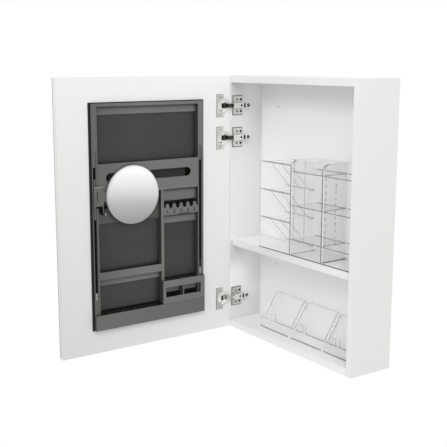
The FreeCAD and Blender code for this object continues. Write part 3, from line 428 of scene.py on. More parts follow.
MATERIALS = {
    "white": lacquer("white lacquer", (0.91, 0.91, 0.90), (0.895, 0.895, 0.887)),
    # The door's white takes painted shade, darker downwards and away from the hinges.
    "white_door": lacquer("white lacquer of the door", (0.92, 0.92, 0.91), (0.90, 0.90, 0.892),
                          (0.65, 0.65, 0.643)),
    # Copies of the white in painted shade: white_side for the right side's outside, white_edge for the top
    # panel and front edges.
    "white_side": lacquer("white lacquer outside", (0.768, 0.768, 0.76), (0.752, 0.752, 0.744)),
    "white_edge": lacquer("white lacquer at the front", (0.86, 0.86, 0.852), (0.845, 0.845, 0.837)),
    # Painted light and shade along the height on the hinge side and the back board, with a painted glow on
    # the back board.
    "white_wall": graded("white lacquer of the hinge side", WALL_LIGHT_SHARES, 0.4, 0.95, 0.0),
    "back": graded("white back board", BACK_LIGHT_SHARES, 0.0, 0.0, 0.055),
    # Painted glow, standing in for light thrown back: in the door's gap, in light lines in the acrylic,
    # inside the hinge cups.
    "white_gap": lit_lacquer("white lacquer in the gap", (0.86, 0.86, 0.85), (0.84, 0.84, 0.832), 0.1),
    "white_line": lit_lacquer("light in the acrylic", (0.95, 0.95, 0.95), (0.93, 0.93, 0.93), 0.25),
    "cup_inside": lit_lacquer("bright cup inside", (0.72, 0.72, 0.70), (0.64, 0.64, 0.62), 0.26),
    "raw": board_core("bare board", (0.62, 0.5, 0.35), (0.45, 0.34, 0.22)),
    "silver": silvered("mirror silver", (0.93, 0.94, 0.94)),
    "glass_edge": ground_glass("mirror edge", (0.028, 0.034, 0.032), (0.055, 0.064, 0.06)),
    "shaving": shaving_glass("round mirror glass"),
    "nickel": metal("satin nickel", (0.86, 0.855, 0.82), (0.72, 0.715, 0.68), 0.3, CLOSE_IN_Z),
    # The bottom hinge's plate and cup: a darker copy of the nickel, painted shade.
    "nickel_shaded": metal("nickel in painted shade", (0.74, 0.735, 0.705), (0.62, 0.615, 0.585), 0.3, CLOSE_IN_Z),
    "nickel_bright": metal("bright nickel", (0.95, 0.945, 0.92), (0.86, 0.855, 0.83), 0.34, CLOSE_IN_Y),
    "black_nickel": metal("black nickel", (0.09, 0.085, 0.08), (0.05, 0.048, 0.045), 0.22, CLOSE_IN_Y),
    "zinc": metal("zinc", (0.62, 0.62, 0.6), (0.5, 0.5, 0.48), 0.3, CLOSE_IN_X),
    # The greys and the dark panel take painted shade in their corners; grey_tray is a darker copy of the
    # grey, painted shade.
    "grey": shaded("grey plastic", (0.162, 0.160, 0.150), (0.146, 0.144, 0.136), (0.03, 0.03, 0.028),
                   GREY_REACH, 0.44, 0.4),
    "grey_tray": shaded("grey tray", (0.125, 0.124, 0.116), (0.112, 0.111, 0.104), (0.03, 0.03, 0.028),
                        GREY_REACH, 0.44, 0.0),
    "panel": shaded("dark panel", (0.037, 0.0368, 0.0385), (0.031, 0.0308, 0.0325), (0.005, 0.005, 0.005),
                    PANEL_REACH, 0.4, 0.4),
    # grey_lit is a painted highlight; grey_dark, grey_under and contact_grey are painted shade and shadow.
    "grey_lit": moulded("grey plastic in the light", (0.22, 0.218, 0.205), (0.2, 0.198, 0.186), 0.44),
    "grey_light": moulded("light grey catch", (0.30, 0.30, 0.29), (0.27, 0.27, 0.26), 0.4),
    "grey_rail": moulded("grey rail", (0.105, 0.104, 0.098), (0.092, 0.091, 0.086), 0.4),
    "grey_dark": moulded("shaded grey plastic", (0.042, 0.042, 0.039), (0.05, 0.05, 0.046), 0.5),
    "grey_under": moulded("grey plastic in the mirror's shade", (0.078, 0.077, 0.072),
                          (0.066, 0.065, 0.061), 0.5),
    "contact_grey": moulded("contact shade", (0.16, 0.16, 0.155), (0.2, 0.2, 0.195), 0.6),
    "peg_grey": moulded("peg hole shade", (0.30, 0.30, 0.295), (0.36, 0.36, 0.355), 0.5),
    "black": moulded("black plastic", (0.008, 0.008, 0.009), (0.013, 0.013, 0.014), 0.45),
    "pale": moulded("pale plastic", (0.40, 0.40, 0.395), (0.36, 0.36, 0.355), 0.3, SOFT_GRAIN, 0.08),
    "ink": moulded("pad-printed ink", (0.02, 0.02, 0.02), (0.03, 0.03, 0.03), 0.5),
    "recess_dark": unlit("shadowed drive", (0.008, 0.008, 0.008), (0.014, 0.014, 0.014)),
    "dim": unlit("dim recess", (0.05, 0.05, 0.051), (0.042, 0.042, 0.043)),
    "deep": unlit("deep shade", (0.006, 0.006, 0.006), (0.01, 0.01, 0.01)),
    "clear": clear_sheet("clear acrylic", (0.86, 0.87, 0.86), 0.012, 0.10),
    # Each tower takes its own copy of the clear acrylic, the left one greyer and the right one clearer:
    # painted shade and light.
    "clear_left": clear_sheet("clear acrylic of the left tower", (0.5, 0.51, 0.49), 0.055, 0.16),
    "clear_right": clear_sheet("clear acrylic of the right tower", (0.72, 0.73, 0.71), 0.008, 0.09),
    # Painted light and shade in the acrylic: dark cut edges and feet, light lines in the bins' rims.
    "clear_edge": clear_edge("acrylic edge", (0.14, 0.15, 0.14), (0.27, 0.28, 0.27), 0.85),
    "rack_edge": clear_edge("rack edge", (0.22, 0.23, 0.22), (0.34, 0.35, 0.34), 0.8, 0.75),
    "bin_edge": clear_edge("bin edge", (0.22, 0.23, 0.22), (0.36, 0.37, 0.36), 0.75),
    "bin_light": clear_edge("light in the bins", (0.86, 0.86, 0.86), (0.95, 0.95, 0.95), 0.45),
    "base_line": clear_edge("foot of the acrylic", (0.07, 0.072, 0.07), (0.15, 0.152, 0.15), 0.9),
}


# Pieces that stand for a CAD node

SHARP_ANGLE = 32.0
FLAT_ANGLE = 0.5
MERGE_REACH = 0.001
FACING = 0.9
TURNED = 0.5


def finished(name, mesh, finishes):
    """A piece at the origin with its materials."""
    mesh.name = name
    piece = bpy.data.objects.new(name, mesh)
    bpy.context.scene.collection.objects.link(piece)
    mesh.materials.clear()
    for finish in finishes:
        mesh.materials.append(MATERIALS[finish])
    return piece


def baked(piece):
    """Turns a piece's modifiers into a plain mesh."""
    graph = bpy.context.evaluated_depsgraph_get()
    mesh = bpy.data.meshes.new_from_object(piece.evaluated_get(graph))
    piece.modifiers.clear()
    piece.data = mesh


def eased(piece, width, steps):
    """Rounds a piece's sharp edges and keeps its flats flat."""
    bevel = piece.modifiers.new("edges", "BEVEL")
    bevel.width = width * MM
    bevel.segments = steps
    bevel.limit_method = "ANGLE"
    bevel.angle_limit = math.radians(SHARP_ANGLE)
    bevel.use_clamp_overlap = True
    bevel.harden_normals = True
    for polygon in piece.data.polygons:
        polygon.use_smooth = True
    piece.data.set_sharp_from_angle(angle=math.radians(SHARP_ANGLE))
    baked(piece)


def merged_copy(node):
    """A CAD node's mesh with its loose triangles joined into flat faces."""
    mesh = frame["nodes"][node].data.copy()
    shape = bmesh.new()
    shape.from_mesh(mesh)
    bmesh.ops.remove_doubles(shape, verts=shape.verts, dist=MERGE_REACH * MM)
    bmesh.ops.dissolve_limit(shape, angle_limit=math.radians(FLAT_ANGLE), verts=shape.verts,
                             edges=shape.edges)
    shape.to_mesh(mesh)
    shape.free()
    if mesh.has_custom_normals and "custom_normal" in mesh.attributes:
        mesh.attributes.remove(mesh.attributes["custom_normal"])
    return mesh


def stands_for(piece, node):
    """The piece takes a CAD node's place and body."""
    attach(piece, BODY_OF[node])
    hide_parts(node)


def dress(node, finishes, width, steps=2, choose=None):
    """A CAD node with its edges rounded; choose gives each polygon's place in the list of finishes."""
    piece = finished(node + "_finished", merged_copy(node), finishes)
    if choose:
        for polygon in piece.data.polygons:
            polygon.material_index = choose(polygon)
    eased(piece, width, steps)
    stands_for(piece, node)


def dress_all(pieces):
    """CAD nodes in one finish each, from a table."""
    for node, finish, width, steps in pieces:
        dress(node, [finish], width, steps)


def below(level):
    """A chooser: 1 for the faces nearer to the door than a level, 0 elsewhere."""
    return lambda polygon: 1 if polygon.center.x / MM < level else 0


# Marks: outlines on faces that look along +X, small blocks and rows

PAD = 0.12
DISC_POINTS = 24
ARC_STEPS = 10


def disc(y, z, radius):
    """Outline of a round mark."""
    turns = [2 * math.pi * i / DISC_POINTS for i in range(DISC_POINTS)]
    return [(y + radius * math.cos(turn), z + radius * math.sin(turn)) for turn in turns]


def block(y, z, width, height):
    """Outline of a square mark about a place."""
    return [(y - width / 2, z - height / 2), (y + width / 2, z - height / 2),
            (y + width / 2, z + height / 2), (y - width / 2, z + height / 2)]


def span(near, far, top, bottom):
    """Outline of a square mark between two sides and two heights."""
    return block((near + far) / 2, (top + bottom) / 2, abs(near - far), abs(top - bottom))


def border(y, z, width, height, band):
    """Outlines of a thin frame: both ends, the side away from the hinges and the other side."""
    reach = (width - band) / 2
    rise = (height - band) / 2
    return [block(y, z - rise, width, band), block(y, z + rise, width, band),
            block(y - reach, z, band, height), block(y + reach, z, band, height)]


def cross(y, z, length, width):
    """Outlines of a cross recess."""
    return [block(y, z, length, width), block(y, z, width, length)]


def arc_band(y, z, radius, band):
    """Outlines along a quarter circle, from the front edge over to the top."""
    turns = [math.pi * (1.0 - 0.5 * i / ARC_STEPS) for i in range(ARC_STEPS + 1)]
    outer, inner = [[(y + reach * math.cos(turn), z + reach * math.sin(turn)) for turn in turns]
                    for reach in (radius, radius - band)]
    return [[outer[i], inner[i], inner[i + 1], outer[i + 1]] for i in range(ARC_STEPS)]


def pads(name, body, finish, level, depth, outlines):
    """Flat marks that look along +X, as deep as asked over a level."""
    shape = bmesh.new()
    for outline in outlines:
        rings = [[shape.verts.new((x * MM, y * MM, z * MM)) for y, z in outline]
                 for x in (level, level + depth)]
        shape.faces.new(rings[1])
        shape.faces.new(rings[0][::-1])
        for i in range(len(outline)):
            shape.faces.new((rings[0][i - 1], rings[0][i], rings[1][i], rings[1][i - 1]))
    mark(name, body, finish, shape)


def bar(name, finish, along_x, along_y, along_z):
    """Small block on the acrylic, between two places along each axis."""
    shape = bmesh.new()
    bmesh.ops.create_cube(shape, size=1.0)
    for vertex in shape.verts:
        vertex.co = [(low + (vertex.co[axis] + 0.5) * (high - low)) * MM
                     for axis, (low, high) in enumerate((along_x, along_y, along_z))]
    mark(name, "case", finish, shape)


def mark(name, body, finish, shape):
    """A mark from its shape, on its body."""
    mesh = bpy.data.meshes.new(name)
    shape.to_mesh(mesh)
    shape.free()
    piece = finished(name, mesh, [finish])
    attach(piece, body)


def row_tree():
    """Geometry Nodes tree that sets small blocks in a row."""
    tree = bpy.data.node_groups.new("row of blocks", "GeometryNodeTree")
    kinds = (("Count", "NodeSocketInt"), ("Start", "NodeSocketVector"), ("Step", "NodeSocketVector"),
             ("Size", "NodeSocketVector"), ("Material", "NodeSocketMaterial"))
    for name, kind in kinds:
        tree.interface.new_socket(name=name, in_out="INPUT", socket_type=kind)
    tree.interface.new_socket(name="Geometry", in_out="OUTPUT", socket_type="NodeSocketGeometry")
    given = tree.nodes.new("NodeGroupInput")
    line = tree.nodes.new("GeometryNodeMeshLine")
    brick = tree.nodes.new("GeometryNodeMeshCube")
    spread = tree.nodes.new("GeometryNodeInstanceOnPoints")
    real = tree.nodes.new("GeometryNodeRealizeInstances")
    paint = tree.nodes.new("GeometryNodeSetMaterial")
    out = tree.nodes.new("NodeGroupOutput")
    joins = ((given, "Count", line, "Count"), (given, "Start", line, "Start Location"),
             (given, "Step", line, "Offset"), (given, "Size", brick, "Size"),
             (line, "Mesh", spread, "Points"), (brick, "Mesh", spread, "Instance"),
             (spread, "Instances", real, "Geometry"), (real, "Geometry", paint, "Geometry"),
             (given, "Material", paint, "Material"), (paint, "Geometry", out, "Geometry"))
    for source, output, target, socket in joins:
        tree.links.new(source.outputs[output], target.inputs[socket])
    return tree


ROW_TREE = row_tree()


def row_of_blocks(name, body, finish, count, start, step, size):
    """Small blocks in a row, turned into a plain mesh."""
    piece = bpy.data.objects.new(name, bpy.data.meshes.new(name))
    bpy.context.scene.collection.objects.link(piece)
    row = piece.modifiers.new("row", "NODES")
    row.node_group = ROW_TREE
    values = {"Count": count, "Start": [v * MM for v in start], "Step": [v * MM for v in step],
              "Size": [v * MM for v in size], "Material": MATERIALS[finish]}
    for item in ROW_TREE.interface.items_tree:
        if item.in_out == "INPUT":
            row[item.identifier] = values[item.name]
    baked(piece)
    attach(piece, body)


# Case

DOOR_FACE = face_of("door_board")
PANEL_FACE = face_of("side_panel_left")
CASE_SIDE = face_of("side_panel_right")
BOARD_EDGE = 0.8
SIDE_SKIN = 1.0
GAP_SKIN = 0.5
GAP_FAR = corners("door_board")[1].y - GAP_SKIN
GAP_NEAR = CASE_LOW.y + GAP_SKIN

# The top panel takes white_edge, a copy of the white in painted shade; the back board takes painted light
# and shade.
# Node, finish, width of its rounded edges and steps across them, as in the later tables of pieces
CASE_PIECES = (("top_panel", "white_edge", BOARD_EDGE, 2), ("bottom_panel", "white", BOARD_EDGE, 2),
               ("shelf", "white", BOARD_EDGE, 2), ("back_panel", "back", 0.3, 1),
               ("hanging_rail_upper", "raw", 0.4, 1), ("hanging_rail_lower", "raw", 0.4, 1),
               ("case_dowels", "raw", 0.6, 1), ("shelf_pins", "zinc", 0.5, 2))


def at_gap(polygon):
    """1 for the door's edge along the case, 0 elsewhere."""
    return 1 if abs(polygon.normal.y) > FACING and GAP_FAR < polygon.center.y / MM < GAP_NEAR else 0


def at_front(polygon):
    """1 for the front edge of the case, 0 elsewhere."""
    return 1 if polygon.normal.y < -FACING and polygon.center.y / MM < GAP_NEAR else 0


def on_right_side(polygon):
    """1 for the outside of the right side panel, 2 for its front edge, 0 elsewhere."""
    if polygon.normal.x > FACING and polygon.center.x / MM > CASE_SIDE - SIDE_SKIN:
        return 1
    return 2 * at_front(polygon)


def dress_case():
    """Boards and their small fittings."""
    dress_all(CASE_PIECES)
    # The door's edge along the case takes white_gap, a painted glow in the narrow gap.
    dress("door_board", ["white_door", "white_gap"], BOARD_EDGE, choose=at_gap)
    # The left side's front edge takes white_gap, a painted glow in the gap behind the open door.
    dress("side_panel_left", ["white_wall", "white_gap"], BOARD_EDGE, choose=at_front)
    # The right side's outside and front edge take copies of the white in painted shade.
    dress("side_panel_right", ["white", "white_side", "white_edge"], BOARD_EDGE, choose=on_right_side)


# Hinges

# The bottom hinge is like the others; its darker plate and cup are painted shade and its bright zinc links
# painted light.
# Name, ending of its marks' names, finish of its plate and cup, and finish of its links
HINGES = (("top", "_0", "nickel", "black_nickel"), ("middle", "_86", "nickel", "black_nickel"),
          ("bottom", "_536", "nickel_shaded", "zinc"))
HINGE_SCREWS = (("hinge_arm_screws", "zinc", 0.25, 2), ("hinge_plate_screws", "zinc", 0.25, 2),
                ("hinge_cup_screws", "zinc", 0.25, 2), ("hinge_pins", "zinc", 0.25, 2))
PLATE_EDGE = 0.35
ARM_EDGE = 0.5
CUP_EDGE = 0.3
CUP_SKIN = 0.05
WING_SHEET = 2.0
WING_TOP = PANEL_FACE + WING_SHEET
WING_SCREW_TOP = face_of("hinge_plate_screws")
ARM_TOP = face_of("hinge_arm_top")
FLANGE_TOP = face_of("hinge_cup_top")
PLATE_SCREW_RISE = 16.0
ARROW_Y = -97.4
ARROW_LENGTH = 7.0
ARROW_HALF = 4.4
ARM_CORNER_Y = -122.8
ARM_CORNER_RISE = 5.4
ARM_CORNER = 3.6
ARM_SLOT_Y = -89.0
ARM_SLOT_WIDTH = 5.6
ARM_SLOT_HEIGHT = 12.5
ARM_SCREW_Y = -77.0
ARM_SCREW_RING = 5.2
RING_WIDTH = 2.0
CROSS_LENGTH = 5.4
CROSS_WIDTH = 1.7
WING_SCREW_Y = -109.0
WING_HOLE_Y = -96.0
WING_HOLE_RADIUS = 3.3
WING_RISE = 17.0
WING_WIDTH = 31.0
WING_HEIGHT = 18.0
BORDER = 1.3
WING_MIDDLE_Y = -105.8
WING_SHADE_WIDTH = 33.2
WING_SHADE_HEIGHT = 54.4
FLANGE_SHADE_Y = -163.4
FLANGE_SHADE_WIDTH = 23.2
FLANGE_SHADE_HEIGHT = 61.6
MOUTH_Y = -154.6
MOUTH_WIDTH = 5.6
MOUTH_HEIGHT = 13.4
STAMP_Y = -160.0
STAMP_WIDTH = 8.0
STAMP_HEIGHT = 2.0
STAMP_DROP = 12.5
LINK_LEVEL = -242.5
LINK_DEPTH = 6.2
LINK_Y = -148.2
LINK_WIDTH = 10.4
LINK_HEIGHT = 12.0


def dress_hinges():
    """Plates, arms, hooks, cups and their screws."""
    for name, ending, plate, link in HINGES:
        dress("hinge_plate_" + name, [plate], PLATE_EDGE)
        dress("hinge_arm_" + name, ["nickel_bright"], ARM_EDGE)
        dress("hinge_hook_" + name, [link], ARM_EDGE)
        # The cup's inside takes cup_inside, white with a painted glow for the light that it throws back.
        dress("hinge_cup_" + name, [plate, "cup_inside"], CUP_EDGE, choose=below(DOOR_FACE - CUP_SKIN))
        low, high = corners("hinge_plate_" + name)
        middle = (low.z + high.z) / 2
        mark_hinge(middle, ending)
        pads("inner_link" + ending, "door", link, LINK_LEVEL, LINK_DEPTH,
             [block(LINK_Y, middle, LINK_WIDTH, LINK_HEIGHT)])
        if name == "bottom":
            mark_arm_corners(middle, ending)
    dress_all(HINGE_SCREWS)


def mark_hinge(z, ending):
    """Stamped holes, screw recesses and contact shades of one hinge."""
    screws = [z - PLATE_SCREW_RISE, z + PLATE_SCREW_RISE]
    arrow = [(ARROW_Y - ARROW_LENGTH, z), (ARROW_Y, z - ARROW_HALF), (ARROW_Y, z + ARROW_HALF)]
    on_arm = [arrow, block(ARM_SLOT_Y, z, ARM_SLOT_WIDTH, ARM_SLOT_HEIGHT),
              disc(ARM_SCREW_Y, z, ARM_SCREW_RING)]
    screw_face = [disc(ARM_SCREW_Y, z, ARM_SCREW_RING - RING_WIDTH)]
    wing_crosses = [outline for height in screws
                    for outline in cross(WING_SCREW_Y, height, CROSS_LENGTH, CROSS_WIDTH)]
    wing_holes = [disc(WING_HOLE_Y, height, WING_HOLE_RADIUS) for height in screws]
    # Painted contact shade around the wings and the cup's flange.
    wing_shade = [block(WING_MIDDLE_Y, z, WING_SHADE_WIDTH, WING_SHADE_HEIGHT)]
    wing_outlines = [outline for height in (z - WING_RISE, z + WING_RISE)
                     for outline in border(WING_MIDDLE_Y, height, WING_WIDTH, WING_HEIGHT, BORDER)]
    flange_shade = border(FLANGE_SHADE_Y, z, FLANGE_SHADE_WIDTH, FLANGE_SHADE_HEIGHT, BORDER)[:3]
    on_flange = [block(MOUTH_Y, z, MOUTH_WIDTH, MOUTH_HEIGHT),
                 block(STAMP_Y, z - STAMP_DROP, STAMP_WIDTH, STAMP_HEIGHT)]
    marks = (("arm_marks", "case", "recess_dark", ARM_TOP, on_arm),
             ("arm_screw_cross", "case", "recess_dark", ARM_TOP + 2 * PAD,
              cross(ARM_SCREW_Y, z, CROSS_LENGTH, CROSS_WIDTH)),
             ("wing_screw_crosses", "case", "recess_dark", WING_SCREW_TOP, wing_crosses),
             ("wing_holes", "case", "recess_dark", WING_TOP, wing_holes),
             ("wing_shade", "case", "contact_grey", PANEL_FACE, wing_shade),
             ("wing_outlines", "case", "contact_grey", WING_TOP, wing_outlines),
             ("flange_shade", "door", "contact_grey", DOOR_FACE, flange_shade),
             ("flange_marks", "door", "recess_dark", FLANGE_TOP, on_flange))
    for name, body, finish, level, outlines in marks:
        pads(name + ending, body, finish, level, PAD, outlines)
    pads("arm_screw_face" + ending, "case", "zinc", ARM_TOP + PAD, PAD, screw_face)


def mark_arm_corners(z, ending):
    """Dark corners at the front of one hinge's arm."""
    pads("arm_corners" + ending, "case", "recess_dark", ARM_TOP, PAD,
         [block(ARM_CORNER_Y, z + side * ARM_CORNER_RISE, ARM_CORNER, ARM_CORNER) for side in (-1, 1)])


# Door with its mirror and the storage unit

MIRROR_EDGE = 0.8
FRAME_EDGE = 0.5
FRAME_STEPS = 3
FRAME_SKIN = 0.3
FRAME_LOW, FRAME_HIGH = corners("unit_frame")
GREY_EDGE = 0.45
RAIL_EDGE = 0.25
RAIL_SKIN = 0.4
UNIT_PIECES = (("unit_pan", "black", 0.4, 2), ("unit_backing", "panel", 0.1, 1),
               ("unit_screws", "black", 0.2, 2), ("rail_catches", "grey_light", 0.3, 2))
GREY_NODES = ("unit_strips", "slotted_bridge", "centre_divider", "brush_comb", "ledge_lip",
              "bottom_tray", "tray_fingers", "accessory_box", "mirror_bracket")
TRAY_NODES = ("bottom_tray", "tray_fingers")

# Reach of the strip behind the round mirror, which takes the mirror's painted shadow
MID_STRIP_LOW = -284.0
MID_STRIP_HIGH = -208.0
MID_STRIP_SIDE = -354.0

# Levels of the unit's faces, and of shades just above them
LIFT = 0.1
STRIP_FACE = face_of("unit_strips")
BACKING_SHADE = face_of("unit_backing") + LIFT
RAIL_FACE = face_of("rail_left")
BRACKET_ARM_FACE = corners("mirror_shell")[0].x
BRACKET_BAR_FACE = face_of("mirror_bracket")

# Slots of the two rails
SLOT_TOP = -137.5
SLOT_END = 44.0
SLOT_HALF = 2.4
LIP_SHADE = 1.0

# Square marks on the unit, mostly painted shade, with a painted highlight along the bracket's top: name,
# body, slot, finish, level and depth, then the near side, far side, top and bottom of each
UNIT_MARKS = (
    ("strip_shades", "door", "black_plastic", "grey_dark", STRIP_FACE, PAD,
     ((-240.0, -345.0, -210.4, -213.6), (-240.0, -345.0, -279.2, -282.6))),
    ("bridge_shade_0", "door", "black_plastic", "dim", BACKING_SHADE, PAD,
     ((-272.0, -500.0, -150.0, -186.0),)),
    ("bridge_shade_1", "door", "black_plastic", "deep", BACKING_SHADE, PAD,
     ((-244.0, -272.0, -150.0, -186.0),)),
    ("bridge_shade_2", "door", "black_plastic", "deep", BACKING_SHADE, PAD,
     ((-500.0, -531.0, -150.0, -186.0),)),
    ("bracket_shade", "door", "black_plastic", "deep", STRIP_FACE, PAD,
     ((-507.0, -532.0, -236.0, -245.0), (-513.4, -524.8, -245.0, -260.0))),
    ("bracket_spark", "door", "grey_plastic", "grey_light", STRIP_FACE, 2 * PAD,
     ((-508.8, -512.6, -255.0, -262.0),)),
    ("bracket_foot_shade", "shaving_mirror", "black_plastic", "deep", BRACKET_ARM_FACE, PAD,
     ((-524.4, -543.0, -234.6, -239.3),)),
    ("bracket_top_light", "shaving_mirror", "grey_plastic", "grey_lit", BRACKET_ARM_FACE, PAD,
     ((-523.0, -546.5, -185.2, -188.4),)),
    ("bracket_bar_shade", "shaving_mirror", "black_plastic", "deep", BRACKET_BAR_FACE, PAD,
     ((-539.0, -540.2, -198.0, -222.0),)),
    ("deep_shade_0", "door", "black_plastic", "deep", STRIP_FACE + LIFT, PAD,
     ((-233.0, -345.0, -488.0, -506.0),)),
    ("deep_shade_1", "door", "black_plastic", "deep", BACKING_SHADE, PAD,
     ((-355.0, -535.0, -507.0, -514.0),)),
    ("deep_shade_2", "door", "black_plastic", "deep", BACKING_SHADE, PAD,
     ((-240.0, -345.0, -447.5, -451.8),)),
)

# Comb: its teeth, the painted shade around them, and the numbers and ticks printed under them
COMB_LOW, COMB_HIGH = corners("brush_comb")
COMB_TEETH = 5
COMB_PITCH = (COMB_HIGH.y - COMB_LOW.y) / COMB_TEETH
COMB_BACK = -235.8
COMB_BACK_DROP = 8.5
COMB_BACK_HEIGHT = 14.0
TIP_DROP = 2.6
TIP_WIDTH = 6.0
TIP_HEIGHT = 5.2
VALLEY_DROP = 13.5
VALLEY_RADIUS = 4.6
NUMBER_RISE = 5.3
NUMBER_SIZE = 12.0
NUMBER_WEIGHT = 0.6
TICK_RISE = 2.3
TICK_COUNT = 7
TICK_START = -299.0
TICK_PITCH = 5.2
TICK_SIZE = (0.2, 2.2, 4.4)


def at_rim(polygon):
    """1 for the ground edge of a sheet that looks along X, 0 elsewhere."""
    return 1 if abs(polygon.normal.x) < TURNED else 0


def away_side(polygon):
    """1 for the faces that look away from the hinges, which take painted shade, 0 elsewhere."""
    return 1 if polygon.normal.y < -FACING else 0


def under_mirror(polygon):
    """2 for the strip behind the round mirror, in its painted shadow, else as on the other grey pieces."""
    centre = polygon.center / MM
    if MID_STRIP_LOW < centre.z < MID_STRIP_HIGH and centre.y < MID_STRIP_SIDE:
        return 2
    return away_side(polygon)


def around_frame(polygon):
    """1 for the frame's outer sides, 2 for its inner ones that look away from the hinges, in painted shade,
    0 elsewhere.
    """
    if abs(polygon.normal.x) > TURNED:
        return 0
    centre = polygon.center / MM
    to_side = min(centre.y - FRAME_LOW.y, FRAME_HIGH.y - centre.y)
    to_end = min(centre.z - FRAME_LOW.z, FRAME_HIGH.z - centre.z)
    return 1 if min(to_side, to_end) < FRAME_SKIN else 2 * away_side(polygon)


def dress_door():
    """Mirror, and the storage unit with its marks."""
    dress("door_mirror", ["silver", "glass_edge"], MIRROR_EDGE, choose=at_rim)
    dress_all(UNIT_PIECES)
    dress("unit_frame", ["grey", "black", "grey_dark"], FRAME_EDGE, FRAME_STEPS, around_frame)
    # Faces away from the hinges take painted shade, and the strip behind the round mirror the mirror's
    # painted shadow.
    for node in GREY_NODES:
        face = "grey_tray" if node in TRAY_NODES else "grey"
        choose = under_mirror if node == "unit_strips" else away_side
        dress(node, [face, "grey_dark", "grey_under"], GREY_EDGE, choose=choose)
    for node in ("rail_left", "rail_right"):
        # The inside of each rail's slot takes deep, a painted shade.
        dress(node, ["grey_rail", "deep"], RAIL_EDGE, choose=below(RAIL_FACE - RAIL_SKIN))
        mark_slot(node)
    for name, body, slot, finish, level, depth, places in UNIT_MARKS:
        pads(name, body, finish, level, depth, [span(*place) for place in places])
    mark_comb()


def mark_slot(node):
    """Painted shade along the lips of a rail's slot."""
    low, high = corners(node)
    middle = (low.y + high.y) / 2
    lips = [span(middle + near, middle + far, SLOT_TOP, low.z + SLOT_END)
            for near, far in ((SLOT_HALF, SLOT_HALF + LIP_SHADE), (-SLOT_HALF, -SLOT_HALF - LIP_SHADE))]
    pads("slot_of_" + node, "door", "deep", RAIL_FACE, PAD, lips)


def mark_comb():
    """Painted shade around the comb's teeth, and the print under them."""
    teeth = [COMB_HIGH.y - COMB_PITCH * (i + 0.5) for i in range(COMB_TEETH)]
    print_face = COMB_HIGH.x + PAD
    pads("comb_tip_shade", "door", "deep", print_face, PAD,
         [block(y, COMB_HIGH.z - TIP_DROP, TIP_WIDTH, TIP_HEIGHT) for y in teeth])
    pads("comb_valley_shades", "door", "deep", print_face, PAD,
         [disc(y - COMB_PITCH / 2, COMB_HIGH.z - VALLEY_DROP, VALLEY_RADIUS) for y in teeth[:-1]])
    pads("comb_back_shade", "door", "deep", COMB_BACK, PAD,
         [block((COMB_LOW.y + COMB_HIGH.y) / 2, COMB_HIGH.z - COMB_BACK_DROP, COMB_HIGH.y - COMB_LOW.y,
                COMB_BACK_HEIGHT)])
    row_of_blocks("comb_ticks", "door", "ink", TICK_COUNT,
                  (print_face, TICK_START, COMB_LOW.z + TICK_RISE), (0.0, TICK_PITCH, 0.0), TICK_SIZE)
    for index, y in enumerate(teeth):
        number_on_comb(index, print_face, y, COMB_LOW.z + NUMBER_RISE)


def number_on_comb(index, x, y, z):
    """Plain number printed under one tooth of the comb."""
    curve = bpy.data.curves.new("number", "FONT")
    curve.body = str(COMB_TEETH - index)
    curve.size = NUMBER_SIZE * MM
    curve.extrude = PAD * MM
    curve.offset = NUMBER_WEIGHT * MM
    curve.align_x = "CENTER"
    source = bpy.data.objects.new("number", curve)
    bpy.context.scene.collection.objects.link(source)
    graph = bpy.context.evaluated_depsgraph_get()
    mesh = bpy.data.meshes.new_from_object(source.evaluated_get(graph))
    bpy.data.objects.remove(source)
    mesh.transform(Matrix(((0, 0, 1, x * MM), (1, 0, 0, y * MM), (0, 1, 0, z * MM), (0, 0, 0, 1))))
    piece = finished("comb_number_%d" % index, mesh, ["ink"])
    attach(piece, "door")


# Round mirror

MIRROR_PIECES = (("mirror_slider", "grey", 0.3, 2), ("mirror_shell", "pale", 0.4, 2),
                 ("mirror_glass", "shaving", 0.5, 2))


def dress_round_mirror():
    """Slider, shell and glass of the round mirror."""
    dress_all(MIRROR_PIECES)


# Organisers

SHEET = 2.5
CLEAR_ROUND = 0.25
CLEAR_STEPS = 1
CLEAR_GAP = 0.08
CUT_EDGE_WIDTH = 4.0
RIM_WIDTH = 8.0
CLEAR_NODES = ("rack_shell", "rack_slopes", "rack_dividers", "tower_shell_left", "tower_shell_right",
               "tower_shelves_left", "tower_shelves_right", "bin_left", "bin_middle", "bin_right")
CUT_EDGES = {"rack": "rack_edge", "tower": "clear_edge", "bin": "bin_edge"}
SHELLS = ("rack_shell", "tower_shell_left", "tower_shell_right", "bin_left", "bin_middle", "bin_right")

# Painted lines of light and shade in the acrylic
SIDE_LINES = {"tower_shell_left": 1.3, "tower_shell_right": 2.6}
FOOT_LINE = 2.0
LIGHT_LINE = 1.6
LIGHT_LINE_DROP = 8.0
DARK_LINE = 1.3
TOWER_ROUND = 17.0

# Rows of peg holes seen through the towers
PEG_X = 128.9
PEG_COLUMNS = (-107.0, -74.0)
PEG_COUNT = 11
PEG_TOP = -160.0
PEG_PITCH = 16.0
PEG_SIZE = (0.5, 2.2, 6.5)


def draw_in(mesh, distance):
    """Draws a mesh in by a hair, so that no see-through face lies in the face it rests on."""
    steps = [vertex.normal * distance * MM for vertex in mesh.vertices]
    for vertex, step in zip(mesh.vertices, steps):
        vertex.co -= step


def face_width(mesh, polygon):
    """Width of a long thin face."""
    points = [mesh.vertices[i].co for i in polygon.vertices]
    outline = sum((points[i] - points[i - 1]).length for i in range(len(points)))
    return 2 * polygon.area / outline / MM


